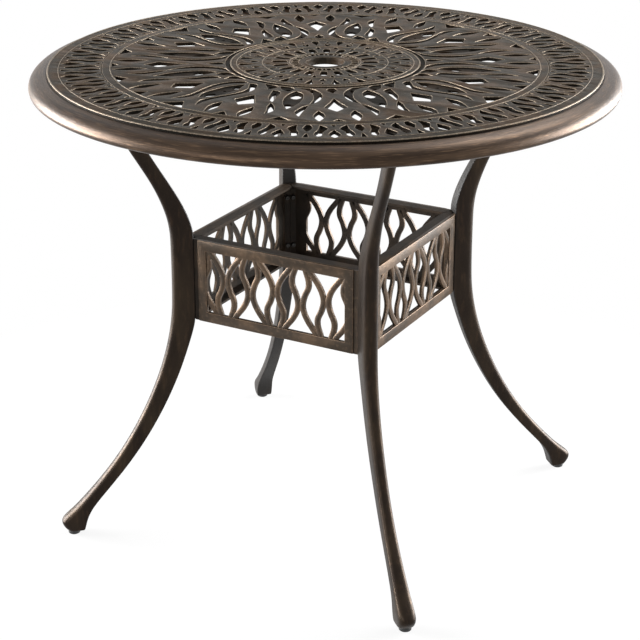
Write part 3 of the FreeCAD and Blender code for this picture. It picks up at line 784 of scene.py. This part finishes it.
def add_band(curve, tip):
    step = 360 / BAND_COUNT
    for k in range(BAND_COUNT):
        axis = BAND_TURN + step * k
        for half, turn in ((BAND_DROP, axis), (BAND_FOOT_NOTCH, axis),
                           (BAND_LENS, axis + step / 2), (BAND_TOP_NOTCH, axis + step / 2)):
            add_hole(curve, placed(whole(half), turn, 1, BAND_INNER, BAND_OUTER), tip)
        for side in (1, -1):
            add_hole(curve, placed(BAND_SIDE_SLOT, axis, side, BAND_INNER, BAND_OUTER), tip)


print("border", round((BAND_OUTER - BAND_INNER) / MM, 1), "mm wide")

# %% [markdown]
# ## Pierced disc
# The field and the border are cut and joined. Round beads stand between them and at the edge,
# with their crowns about level with the table's top. Below is a ring that seats the medallion,
# and a rib with a boss for every bolt of the legs. Beads, ring and rib are the same all round,
# so they are spun, and a boss is a short cylinder.

# %% Pierced disc
TIP, FIELD_WEB_TIP, BORDER_WEB_TIP = 0.9 * MM, 3.5 * MM, 2 * MM
STRIP_START, BORDER_START = SEAT_OUTER + 2 * MM, RING_OUTER - 0.8 * MM
DISC_BEADS = [(DISC_RADIUS - 1.4 * MM, 1.4 * MM), (BAND_OUTER + 2.2 * MM, 0.6 * MM), (RING_INNER, 0.7 * MM)]
BEAD_POINTS, BEAD_STEPS = 6, 160
RIB_BOTTOM, SEAT_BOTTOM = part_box("top_grille")[0].z, PLATE_BOTTOM - 4 * MM
RIB_HALF, RIB_STEPS, SEAT_STEPS = 5.25 * MM, 128, 96
LEG_ANGLES = {"right": 45, "back": 135, "left": 225, "front": 315}
BOLT_CIRCLE, BOLT_OFFSET = (RING_INNER + RING_OUTER) / 2, 19.5 * MM
BOSS_RADIUS, BOSS_DEPTH = 7.5 * MM, 8 * MM


def add_bead(bm, middle, radius, steps):
    bead = bmesh.new()
    height = min(TOP - radius, SHEET_TOP - 0.1 * MM)
    arc = [math.pi * k / BEAD_POINTS for k in range(BEAD_POINTS + 1)]
    spin_profile(bead, [(middle + radius * math.cos(a), height + radius * math.sin(a)) for a in arc], steps)
    # A bead is marked rubbed all over: worn copper and a painted highlight.
    rubbed = face_layer(bead, "rubbed")
    for face in bead.faces:
        face[rubbed] = 1.0
    join_into(bm, bead)


def ring_profile(inner, outer, bottom, top):
    return [(inner, bottom), (outer, bottom), (outer, top), (inner, top)]


def turned_to(angle, x=0.0, y=0.0, z=0.0):
    return Matrix.Rotation(math.radians(angle), 4, "Z") @ Matrix.Translation((x, y, z))


def bolt_places(z):
    return [turned_to(angle, BOLT_CIRCLE, side * BOLT_OFFSET, z)
            for angle in LEG_ANGLES.values() for side in (1, -1)]


bm = two_layers(
    "field", outer=BORDER_START, strips_inner=STRIP_START, web_inner=MEDALLION_RADIUS + FIT_GAP,
    cut_strips=lambda curve: add_field(curve, *STRIP_HOLES, TIP),
    cut_web=lambda curve: add_field(curve, *WEB_HOLES, FIELD_WEB_TIP),
    inset=0.4 * MM, growth=0.8 * MM, arris=0.9 * MM)
join_into(bm, two_layers(
    "border", outer=DISC_RADIUS, strips_inner=BORDER_START, web_inner=BORDER_START,
    cut_strips=lambda curve: add_band(curve, TIP), cut_web=lambda curve: add_band(curve, BORDER_WEB_TIP),
    inset=0.5 * MM, growth=0.4 * MM, arris=0.65 * MM))
for middle, radius in DISC_BEADS:
    add_bead(bm, middle, radius, BEAD_STEPS)
rib = ring_profile(BOLT_CIRCLE - RIB_HALF, BOLT_CIRCLE + RIB_HALF, RIB_BOTTOM, PLATE_BOTTOM + 0.2 * MM)
seat = ring_profile(SEAT_INNER, SEAT_OUTER, SEAT_BOTTOM, PLATE_BOTTOM + 0.8 * MM)
spin_profile(bm, rib, RIB_STEPS)
spin_profile(bm, seat, SEAT_STEPS)
for place in bolt_places((RIB_BOTTOM + PLATE_BOTTOM) / 2):
    bmesh.ops.create_cone(bm, cap_ends=True, segments=24, radius1=BOSS_RADIUS, radius2=BOSS_RADIUS,
                          depth=BOSS_DEPTH, matrix=place)
finished(bm, "pierced_disc", "top_grille", "table_frame")

# %% [markdown]
# ## Medallion
# The medallion fills the middle of the top and takes the umbrella pole. Rings of small holes
# run round it, twenty to a ring. It is a pierced sheet as well, with a turned hub below and
# a rounded lip round the pole's hole.

# %% Medallion
MEDALLION_TURN, MEDALLION_COUNT, MEDALLION_WEB_TIP = -63.1, 20, 1.2 * MM
HOLE_RADIUS = 27.5 * MM
HUB_OUTER, HUB_BOTTOM, HUB_STEPS = HOLE_RADIUS + 7.5 * MM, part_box("centre_medallion")[0].z, 96
MEDALLION_ROWS = [HUB_OUTER + share * (MEDALLION_RADIUS - HUB_OUTER)
                  for share in (0.05, 0.14, 0.21, 0.41, 0.51, 0.59, 0.72, 0.785, 0.865)]
MEDALLION_BEADS = [(MEDALLION_RADIUS - 1.3 * MM, 1.2 * MM), (MEDALLION_RADIUS - 10 * MM, 0.7 * MM),
                   (95 * MM, 0.7 * MM), (54 * MM, 0.7 * MM)]
MEDALLION_BEAD_STEPS = 128


def pattern_of_medallion(curve, tip):
    """A row is an outline with its two radii, on the axis of a slot or between two slots."""
    bar_in, bar_out, slot_in, slot_out, drop_out, heart_in, heart_out, bud_in, bud_out = MEDALLION_ROWS
    on_slot = (
        ([(-2.0, 0, 1), (2.0, 0, 1), (2.0, 1, 1), (-2.0, 1, 1)], bar_in, bar_out),
        ([(-4.4, 0, 1), (4.4, 0, 1), (4.2, 0.75), (2.6, 1), (-2.6, 1), (-4.2, 0.75)], slot_in, slot_out),
        ([(0, 0, 1), (2.4, 0.7), (1.8, 1), (0, 0.72, 1), (-1.8, 1), (-2.4, 0.7)], heart_in, heart_out),
        ([(0, 0, 1), (0.9, 0.6), (0, 1, 1), (-0.9, 0.6)], bud_in, bud_out),
    )
    between = (
        ([(-3.8, 0, 1), (3.8, 0, 1), (3.6, 1, 1), (-3.6, 1, 1)], bar_in, bar_out),
        ([(0, 0, 1), (1.5, 0.5), (1.3, 1), (-1.3, 1), (-1.5, 0.5)], slot_out, drop_out),
        ([(0, 0, 1), (0.6, 0.35), (2.4, 0.8), (2.1, 1), (-2.1, 1), (-2.4, 0.8), (-0.6, 0.35)],
         heart_in, bud_out),
    )
    step = 360 / MEDALLION_COUNT
    for k in range(MEDALLION_COUNT):
        slot_axis = MEDALLION_TURN + step * k
        for rows, axis in ((on_slot, slot_axis), (between, slot_axis + step / 2)):
            for outline, inner, outer in rows:
                add_hole(curve, placed(outline, axis, 1, inner, outer), tip)


def hub_profile():
    pole, below, outside = HOLE_RADIUS, HUB_BOTTOM, HUB_OUTER
    return [(pole, below + 0.8 * MM), (pole + 0.8 * MM, below), (outside - 0.8 * MM, below),
            (outside, below + 0.8 * MM), (outside, TOP - 1.6 * MM), (outside - 1.1 * MM, TOP - 0.4 * MM),
            (outside - 3.0 * MM, TOP), (pole + 2 * MM, TOP - 0.5 * MM), (pole + 0.6 * MM, TOP - 1.4 * MM),
            (pole, TOP - 2.8 * MM)]


bm = two_layers(
    "medallion", outer=MEDALLION_RADIUS, strips_inner=HOLE_RADIUS + 1 * MM, web_inner=HOLE_RADIUS + 1 * MM,
    cut_strips=lambda curve: pattern_of_medallion(curve, TIP),
    cut_web=lambda curve: pattern_of_medallion(curve, MEDALLION_WEB_TIP),
    inset=0.3 * MM, growth=0.2 * MM, arris=0.6 * MM)
spin_profile(bm, hub_profile(), HUB_STEPS)
for middle, radius in MEDALLION_BEADS:
    add_bead(bm, middle, radius, MEDALLION_BEAD_STEPS)
finished(bm, "pierced_medallion", "centre_medallion", "table_frame")

# %% [markdown]
# ## Sweep of a leg
# A leg is one solid casting. It is narrow under the top, wider at the knee, where the aprons meet
# it, and sweeps out to a foot. Its inner face is flat, and its outer face is rounded. One
# section, a plank with its outer corners taken off, is extruded from station to station. At each
# station a matrix stretches it to the leg's own width and depth there.

# %% Sweep of a leg
LEG_SECTION = [(-1, -0.86), (-0.92, -1), (0.30, -1), (0.70, -0.88), (0.93, -0.58), (1, -0.22),
               (1, 0.22), (0.93, 0.58), (0.70, 0.88), (0.30, 1), (-0.92, 1), (-1, 0.86)]
# The height of each station, how far its inner and outer face are from the middle of the table,
# and its width, in millimetres.
LEG_STATIONS = [
    (722.5, 322.0, 351.0, 18.0), (700.0, 313.0, 341.0, 16.0), (675.0, 301.0, 328.5, 14.6),
    (645.0, 287.0, 313.5, 14.0), (610.0, 267.5, 293.0, 14.2), (575.0, 246.5, 272.5, 16.0),
    (545.0, 229.5, 259.5, 18.6), (518.0, 218.0, 250.5, 21.6), (497.0, 212.8, 247.5, 23.8),
    (484.0, 212.7, 246.5, 24.8), (430.0, 212.7, 246.3, 25.0), (375.0, 212.7, 247.0, 24.6),
    (352.0, 212.8, 249.5, 24.2), (334.0, 216.8, 252.0, 23.0), (300.0, 227.5, 259.5, 21.4),
    (262.0, 241.0, 271.5, 20.4), (218.0, 261.0, 290.0, 19.8), (172.0, 286.5, 314.0, 19.2),
    (128.0, 316.5, 342.5, 19.6), (90.0, 348.5, 373.5, 21.2), (62.0, 374.5, 399.5, 23.4),
    (44.0, 390.0, 417.5, 25.4), (32.0, 396.5, 433.0, 27.4), (24.5, 399.5, 440.0, 28.4),
    (15.5, 402.0, 437.5, 28.2), (8.6, 403.8, 431.5, 26.6), (7.3, 404.6, 430.0, 25.6),
]


def station_matrix(station):
    z, inner, outer, width = (value * MM for value in station)
    middle = Matrix.Translation(((inner + outer) / 2, 0, z))
    return middle @ Matrix.Diagonal(((outer - inner) / 2, width / 2, 1, 1))


def face_between(bm, verts):
    return next(face for face in bm.faces if set(face.verts) == set(verts))


def extruded(bm, face):
    """Extrudes one face on the spot, takes it out, and gives what is new."""
    grown = bmesh.ops.extrude_face_region(bm, geom=[face])["geom"]
    bmesh.ops.delete(bm, geom=[face], context="FACES_ONLY")
    return grown


def only(kind, geometry):
    return [item for item in geometry if isinstance(item, kind)]


def swept_leg(bm):
    """Sweeps the section down the leg, and gives the corners of its sole."""
    end = [bm.verts.new((x, y, 0)) for x, y in LEG_SECTION]
    bm.faces.new(end)
    place = Matrix.Identity(4)
    for station in LEG_STATIONS:
        if station is not LEG_STATIONS[0]:
            end = only(bmesh.types.BMVert, extruded(bm, face_between(bm, end)))
        target = station_matrix(station)
        bmesh.ops.transform(bm, matrix=target @ place.inverted(), verts=end)
        place = target
    bmesh.ops.recalc_face_normals(bm, faces=bm.faces)
    return end


print("leg", len(LEG_STATIONS), "stations, from", LEG_STATIONS[-1][0], "to", LEG_STATIONS[0][0], "mm high")

# %% [markdown]
# ## Foot and palm
# The sole of the foot opens into a blind round bore for the levelling stud. At the top the leg
# ends in a palm, a plate with round corners that is bolted to the bosses of the disc. The bore is
# an inset face made round and extruded upwards, and the palm is a cube with four beveled edges.

# %% Foot and palm
FOOT_RADIUS = sum(corner.xy.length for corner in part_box("glide_right")) / 2
BORE_RADIUS, BORE_DEPTH, SOLE_RIM = 5.2 * MM, 23 * MM, 3 * MM
PALM_INNER, PALM_OUTER, PALM_HALF, PALM_THICK = 314 * MM, 353 * MM, 26 * MM, 8 * MM
PALM_ROUND = 8 * MM
CREASE = 0.9


def block(bm, middle, size):
    made = bmesh.ops.create_cube(bm, size=1, matrix=Matrix.Translation(middle) @ Matrix.Diagonal((*size, 1)))
    return made["verts"]


def rise(edge):
    return abs(edge.verts[0].co.z - edge.verts[1].co.z)


def stud_bore(bm, sole, crease):
    bmesh.ops.inset_region(bm, faces=[sole], thickness=SOLE_RIM, use_even_offset=True)
    for vert in sole.verts:
        away = (vert.co.xy - Vector((FOOT_RADIUS, 0))).normalized() * BORE_RADIUS
        vert.co.x, vert.co.y = FOOT_RADIUS + away.x, away.y
    mouth = sole.edges[:]
    grown = extruded(bm, sole)
    bmesh.ops.translate(bm, verts=only(bmesh.types.BMVert, grown), vec=(0, 0, BORE_DEPTH))
    for edge in mouth + only(bmesh.types.BMEdge, grown):
        edge[crease] = CREASE


def palm(bm):
    middle = ((PALM_INNER + PALM_OUTER) / 2, 0, RIB_BOTTOM - PALM_THICK / 2)
    verts = block(bm, middle, (PALM_OUTER - PALM_INNER, 2 * PALM_HALF, PALM_THICK))
    upright = [edge for edge in {e for v in verts for e in v.link_edges} if rise(edge) > PALM_THICK / 2]
    bmesh.ops.bevel(bm, geom=upright, offset=PALM_ROUND, segments=5, profile=0.5, affect="EDGES", material=-1)


print("feet", round(2 * FOOT_RADIUS, 4), "m apart, corner to corner")

# %% [markdown]
# ## Four legs
# Each leg is built along X and turned to its corner. Subdivision rounds its outer face, and
# creases keep the inner arrises and the edges of the bore. The inner face is marked hollow: it
# stays dull and unworn, and the coat darkens it with painted shade.

# %% Four legs
INWARD, LEVEL = 0.5, 0.9
HAIR = 0.001 * MM


# Marks faces hollow, so that the coat darkens them with painted shade.
def mark_painted_shade(bm, is_inward):
    hollow_with_painted_shade = face_layer(bm, "hollow_with_painted_shade")
    inward = [face for face in bm.faces if is_inward(face)]
    for face in inward:
        face[hollow_with_painted_shade] = 1.0
    return inward


def cast_leg(corner, angle):
    bm = bmesh.new()
    crease = bm.edges.layers.float.new("crease_edge")
    end = swept_leg(bm)
    # Inner faces get painted shade, and their upright edges are creased.
    for face in mark_painted_shade(bm, lambda face: face.normal.x < -INWARD and abs(face.normal.z) < LEVEL):
        for edge in face.edges:
            if rise(edge) > HAIR:
                edge[crease] = CREASE
    stud_bore(bm, face_between(bm, end), crease)
    palm(bm)
    bmesh.ops.transform(bm, matrix=turned_to(angle), verts=bm.verts)
    piece = finished(bm, "cast_leg_" + corner, "leg_" + corner, "table_frame")
    smooth = piece.modifiers.new("sweep", "SUBSURF")
    smooth.levels = smooth.render_levels = 2


for corner, angle in LEG_ANGLES.items():
    cast_leg(corner, angle)

# %% [markdown]
# ## Section of a strip
# Four cast grilles tie the legs together. Wavy strips fill each, swell into lenses and touch in
# pairs. A strip has one section all along, a low ridge that shows light along both its faces. So
# the section is drawn once, as a closed curve, and every strip will be swept with it.

# %% Section of a strip
STRIP_HALF, STRIP_DEEP = 4.4 * MM, 2.4 * MM
STRIP_CREST = STRIP_DEEP + 0.5 * MM


def strip_section():
    half, deep = STRIP_HALF, STRIP_DEEP
    points = [(-half, -deep), (half, -deep), (half, deep - 0.9 * MM), (half - 1.1 * MM, deep - 0.2 * MM),
              (0, STRIP_CREST), (1.1 * MM - half, deep - 0.2 * MM), (-half, deep - 0.9 * MM)]
    curve = flat_curve("strip_section")
    spline = curve.splines.new("POLY")
    spline.points.add(len(points) - 1)
    spline.use_cyclic_u = True
    for point, (x, y) in zip(spline.points, points):
        point.co = (x, y, 0, 1)
    return add_to_scene("strip_section", curve)


print("strip", round(2 * STRIP_HALF / MM, 1), "by", round((STRIP_DEEP + STRIP_CREST) / MM, 1), "mm")

# %% [markdown]
# ## Wavy strips
# A strip is a smooth flat curve through a few stops. The strips repeat along the apron, each
# mirrored about its axis and every second one upside down. Where they reach past the window, a
# plane cuts them off behind the frame.

# %% Wavy strips
LEG_INNER = 213 * MM
APRON_OUT, APRON_HALF = 160.5 * MM, 135 * MM
APRON_LOW, APRON_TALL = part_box("apron_front_left")[0].z, 133 * MM
RAIL, STILE = 16.5 * MM, 14.5 * MM
WINDOW_HALF, WINDOW_TALL = APRON_HALF - STILE, APRON_TALL - 2 * RAIL
STRIP_STEP, STRIP_SMOOTHNESS, CUT_PAST = 43.75 * MM, 5, 1 * MM
RIDGE_FROM, RIDGE_TO = 0.3, 0.9
# Shares of the window's height, and how far the strip is from its axis there, in millimetres.
STRIP_STOPS = [(-0.03, 8.2), (0.23, 14.5), (0.42, 7.2), (0.56, 4.1), (0.66, 5.6), (0.80, 12.4),
               (0.92, 21.5), (1.03, 30.5)]


def strip_stops(axis, side, upside_down):
    return [(axis + side * out * MM, (1 - share if upside_down else share) * WINDOW_TALL)
            for share, out in STRIP_STOPS]


def trim_to_window(bm):
    for sign in (1, -1):
        cut = bmesh.ops.bisect_plane(bm, geom=bm.verts[:] + bm.edges[:] + bm.faces[:],
                                     plane_co=(sign * (WINDOW_HALF + CUT_PAST), 0, 0),
                                     plane_no=(sign, 0, 0), clear_outer=True)
        bmesh.ops.holes_fill(bm, edges=only(bmesh.types.BMEdge, cut["geom_cut"]), sides=0)


def wavy_strips(section, flipped):
    """The strips lie flat, with x along the apron and y up from the window's sill."""
    curve = flat_curve("wavy_strips", fill="NONE")
    curve.bevel_mode = "OBJECT"
    curve.bevel_object = section
    curve.use_fill_caps = True
    count = int(WINDOW_HALF / STRIP_STEP) + 1
    for k in range(-count, count + 1):
        for side in (1, -1):
            stops = strip_stops(k * STRIP_STEP, side, (k % 2 == 1) != flipped)
            if all(abs(x) > WINDOW_HALF for x, y in stops):
                continue
            for point, (x, y) in zip(add_spline(curve, len(stops), STRIP_SMOOTHNESS, closed=False), stops):
                point.co = (x, y, 0)
                point.handle_left_type = point.handle_right_type = "AUTO"
    bm = solid_of(curve)
    trim_to_window(bm)
    bmesh.ops.recalc_face_normals(bm, faces=bm.faces)
    # The ridge's sloping faces are marked rubbed: worn copper and a painted highlight.
    rubbed = face_layer(bm, "rubbed")
    for face in bm.faces:
        face[rubbed] = 1.0 if RIDGE_FROM < face.normal.z < RIDGE_TO else 0.0
    return bm


print("window", round(2 * WINDOW_HALF / MM), "by", round(WINDOW_TALL / MM), "mm")

# %% [markdown]
# ## Frame of a grille
# The frame round the strips starts as one flat face. Its window is inset, set to its real width
# and taken out. What is left is extruded to its thickness, and its front arrises are beveled and
# marked as rubbed, for worn copper and a painted highlight. Flanges stand inwards along its long
# edges and stiffen it. Those at its ends bend back flat against the legs, where they are screwed on.

# %% Frame of a grille
APRON_THICK, WINDOW_EASE = 6 * MM, 0.2 * MM
CORNER, FRONT_ARRIS, FRONT_DEPTH = 1.0, 0.7 * MM, 0.1 * MM
FLANGE_THICK, FLANGE_DEEP, FLANGE_SINK = 4 * MM, 16 * MM, 0.3 * MM
MITRE_GAP = 1.2 * MM
END_FLANGE, END_SETBACK, END_ROOT, END_MITRE = 4 * MM, 2 * MM, 1 * MM, 0.3 * MM


def frame_plate(bm):
    """The front is towards +z."""
    middle = Matrix.Translation((0, APRON_TALL / 2 - RAIL, 0))
    made = bmesh.ops.create_grid(bm, x_segments=1, y_segments=1, size=1,
                                 matrix=middle @ Matrix.Diagonal((APRON_HALF, APRON_TALL / 2, 1, 1)))
    window = made["verts"][0].link_faces[0]
    bmesh.ops.inset_region(bm, faces=[window], thickness=RAIL - WINDOW_EASE, use_boundary=True,
                           use_even_offset=True)
    for vert in window.verts:
        vert.co.x = math.copysign(WINDOW_HALF + WINDOW_EASE, vert.co.x)
    bmesh.ops.delete(bm, geom=[window], context="FACES")
    grown = bmesh.ops.extrude_face_region(bm, geom=bm.faces[:])["geom"]
    bmesh.ops.translate(bm, verts=only(bmesh.types.BMVert, grown), vec=(0, 0, -APRON_THICK))
    bmesh.ops.recalc_face_normals(bm, faces=bm.faces)
    rubbed = face_layer(bm, "rubbed")
    arrises = [edge for edge in bm.edges
               if len(edge.link_faces) == 2 and edge.calc_face_angle(0) > CORNER
               and max(vert.co.z for vert in edge.verts) > -FRONT_DEPTH]
    made = bmesh.ops.bevel(bm, geom=arrises, offset=FRONT_ARRIS, segments=2, profile=0.5,
                           affect="EDGES", material=-1, clamp_overlap=True)
    # The beveled front arrises get worn copper and a painted highlight.
    for face in made["faces"]:
        face[rubbed] = 1.0


def long_flanges(bm):
    rear = FLANGE_SINK - APRON_THICK
    for low in (-RAIL, APRON_TALL - RAIL - FLANGE_THICK):
        middle = (0, low + FLANGE_THICK / 2, rear - FLANGE_DEEP / 2)
        for vert in block(bm, middle, (2 * APRON_HALF, FLANGE_THICK, FLANGE_DEEP)):
            vert.co.x = math.copysign(APRON_OUT + vert.co.z - MITRE_GAP, vert.co.x)


def end_flanges(bm):
    """Drawn in plan, as a distance along the apron and one out from the middle of the table."""
    face, back = LEG_INNER * math.sqrt(2), (LEG_INNER - END_FLANGE) * math.sqrt(2)
    front, rear = APRON_OUT - END_SETBACK, APRON_OUT - APRON_THICK
    root = APRON_HALF - END_ROOT
    plan = [(root, front), (face - front, front), (face / 2, face / 2 + END_MITRE),
            (back / 2, back / 2 + END_MITRE), (back - rear, rear), (root, rear)]
    for sign in (1, -1):
        base = bm.faces.new([bm.verts.new((sign * x, -RAIL, out - APRON_OUT)) for x, out in plan])
        grown = bmesh.ops.extrude_face_region(bm, geom=[base])["geom"]
        bmesh.ops.translate(bm, verts=only(bmesh.types.BMVert, grown), vec=(0, APRON_TALL, 0))


print("frame", round(2 * APRON_HALF / MM), "by", round(APRON_TALL / MM), "mm between its flanges")

# %% [markdown]
# ## Four grilles
# Strips and frame are joined, stood upright and turned to a side of the table each. The backs of
# a grille and its flanges are marked hollow, which darkens them with painted shade. One grille has
# its strips the other way up.

# %% Four grilles
RECESS = 1.2 * MM
BACKWARD, BEHIND = 0.4, 1.1 * APRON_THICK
GRILLES = {"front_left": False, "front_right": True, "back_right": False, "back_left": False}


def apron_grille(name, quarter, flipped, section):
    bm = wavy_strips(section, flipped)
    bmesh.ops.translate(bm, verts=bm.verts, vec=(0, 0, -RECESS - STRIP_CREST))
    surround = bmesh.new()
    frame_plate(surround)
    long_flanges(surround)
    end_flanges(surround)
    join_into(bm, surround)
    # Backs and flanges get painted shade.
    mark_painted_shade(bm, lambda face: face.normal.z < -BACKWARD or face.calc_center_median().z < -BEHIND)
    stand = Matrix.Translation((0, -APRON_OUT, APRON_LOW + RAIL)) @ Matrix.Rotation(math.pi / 2, 4, "X")
    bmesh.ops.transform(bm, matrix=turned_to(90 * quarter) @ stand, verts=bm.verts)
    finished(bm, "grille_" + name, "apron_" + name, "table_frame")


section = strip_section()
for quarter, (name, flipped) in enumerate(GRILLES.items()):
    apron_grille(name, quarter, flipped, section)
profile = section.data
bpy.data.objects.remove(section)
bpy.data.curves.remove(profile)

# %% [markdown]
# ## Turned parts
# Bolts, screws and feet are turned: a profile is spun about an axis and then stood where the
# piece goes. A six-sided head or socket is spun round too, and pulled in to a hexagon. A thread
# is a small triangle spun up a helix.

# %% Turned parts
PART_STEPS, THREAD_STEPS = 24, 16
HALF_FLAT = math.pi / 6


def turned_part(points, flats=(0, 0), flat_radius=math.inf):
    """A solid about its own axis, in millimetres, with six flats between two heights."""
    bm = bmesh.new()
    spin_profile(bm, [(r * MM, z * MM) for r, z in points], PART_STEPS, closed=points[0][0] > 0)
    for vert in bm.verts:
        if flats[0] < vert.co.z / MM < flats[1] and vert.co.xy.length < flat_radius * MM:
            turn = math.atan2(vert.co.y, vert.co.x)
            from_flat = (turn + HALF_FLAT) % (2 * HALF_FLAT) - HALF_FLAT
            vert.co.xy = vert.co.xy * math.cos(HALF_FLAT) / math.cos(from_flat)
    return bm


def thread(root, crest, bottom, turns, pitch):
    """A ridge that winds up a shank, in millimetres."""
    bm = bmesh.new()
    ridge = ((root - 0.1, bottom), (crest, bottom + 0.45 * pitch), (root - 0.1, bottom + 0.9 * pitch))
    face = bm.faces.new([bm.verts.new((r * MM, 0, z * MM)) for r, z in ridge])
    bmesh.ops.spin(bm, geom=[face] + face.edges[:] + face.verts[:], cent=(0, 0, 0), axis=(0, 0, 1),
                   dvec=(0, 0, pitch * MM / THREAD_STEPS), angle=2 * math.pi * turns,
                   steps=THREAD_STEPS * turns)
    return bm


def stood(parts, places):
    """Joins the parts and copies them to every place."""
    joined = bmesh.new()
    for part in parts:
        join_into(joined, part)
    mesh = bpy.data.meshes.new("turned")
    joined.to_mesh(mesh)
    joined.free()
    bm = bmesh.new()
    for place in places:
        known = set(bm.verts)
        bm.from_mesh(mesh)
        bmesh.ops.transform(bm, matrix=place, verts=[v for v in bm.verts if v not in known])
    bpy.data.meshes.remove(mesh)
    return bm


print("a turn of thread is", THREAD_STEPS, "steps")

# %% [markdown]
# ## Bolts and screws
# Flanged bolts hold the legs' palms to the disc. Small screws hold the medallion in its seat, and
# pan-head screws the aprons to the legs. Their profiles start at the tip of the shank, in
# millimetres from the face that the head bears on.

# %% Bolts and screws
PALM_BOTTOM = RIB_BOTTOM - PALM_THICK
FLANGE_BOLT = [(0, 18), (2.2, 18), (2.6, 17.4), (2.6, 0), (5.6, 0), (5.6, -0.7), (5.3, -1.4),
               (5.2, -1.6), (5.2, -5.4), (4.7, -6), (0, -6)]
MEDALLION_SCREW = [(0, 8), (1.4, 8), (1.7, 7.6), (1.7, 0), (3.8, 0), (3.8, -0.8), (3.3, -1.9),
                   (2.4, -2.6), (1.5, -2.6), (1.5, -1.0), (0, -1.0)]
APRON_SCREW = [(0, 16), (1.8, 16), (2.1, 15.5), (2.1, 0), (4.3, 0), (4.3, -0.9), (3.8, -2.1),
               (2.9, -3.0), (1.8, -3.0), (1.8, -1.1), (0, -1.1)]
MEDALLION_SCREW_EDGE, APRON_SCREW_SIDE, APRON_SCREW_EDGE = 4 * MM, 5 * MM, 24 * MM

bolts = stood([turned_part(FLANGE_BOLT, flats=(-6.1, -1.5)),
               thread(root=2.6, crest=2.95, bottom=9, turns=8, pitch=1.0)],
              bolt_places(PALM_BOTTOM))
finished(bolts, "flange_bolts", "leg_top_bolts", "table_frame")

screws = stood([turned_part(MEDALLION_SCREW, flats=(-2.7, -0.9), flat_radius=1.6),
                thread(root=1.7, crest=1.95, bottom=4.2, turns=5, pitch=0.7)],
               [turned_to(angle, MEDALLION_RADIUS - MEDALLION_SCREW_EDGE, 0, SEAT_BOTTOM)
                for angle in LEG_ANGLES.values()])
finished(screws, "small_screws", "medallion_screws", "table_frame")

lie_down = Matrix.Rotation(math.pi / 2, 4, "Y")
heights = (APRON_LOW + APRON_SCREW_EDGE, APRON_LOW + APRON_TALL - APRON_SCREW_EDGE)
screws = stood([turned_part(APRON_SCREW, flats=(-3.1, -1.0), flat_radius=1.9),
                thread(root=2.1, crest=2.45, bottom=4.6, turns=13, pitch=0.8)],
               [turned_to(angle, LEG_INNER - END_FLANGE, side * APRON_SCREW_SIDE, z) @ lie_down
                for angle in LEG_ANGLES.values() for side in (1, -1) for z in heights])
finished(screws, "pan_screws", "apron_screws", "table_frame")

# %% [markdown]
# ## Glides, studs and inserts
# Each foot stands on a nylon glide. Its stud turns in a brass insert in the foot, so the glide
# goes up or down. A glide and its stud ride on bodies of their own, and the inserts on the frame.

# %% Glides, studs and inserts
GLIDE = [(0, 0), (7.1, 0), (7.8, 0.3), (9.2, 1.2), (9.5, 1.8), (9.5, 5.9), (9.1, 6.7), (8.4, 7),
         (3.6, 7), (3.05, 6.6), (3.05, 4.7), (4.25, 4.7), (4.25, 3.1), (3.05, 3.1), (3.05, 1.8), (0, 1.8)]
STUD = [(0, 1.9), (2.4, 1.9), (2.9, 2.3), (2.9, 3.2), (4.2, 3.2), (4.2, 4.6), (2.6, 4.6), (2.6, 26.4),
        (2.2, 27), (0, 27)]
INSERT = [(3.05, 7.5), (3.3, 7.2), (5.0, 7.2), (5.0, 19.0), (4.7, 19.3), (3.05, 19.3)]

feet = {corner: turned_to(angle, FOOT_RADIUS) for corner, angle in LEG_ANGLES.items()}
for corner, foot in feet.items():
    glide = stood([turned_part(GLIDE)], [foot])
    finished(glide, "nylon_glide_" + corner, "glide_" + corner, f"glide_{corner}_body")
    stud = stood([turned_part(STUD), thread(root=2.6, crest=2.95, bottom=6.5, turns=19, pitch=1.0)], [foot])
    finished(stud, "threaded_stud_" + corner, "stud_" + corner, f"stud_{corner}_body")
finished(stood([turned_part(INSERT)], feet.values()), "brass_inserts", "foot_inserts", "table_frame")
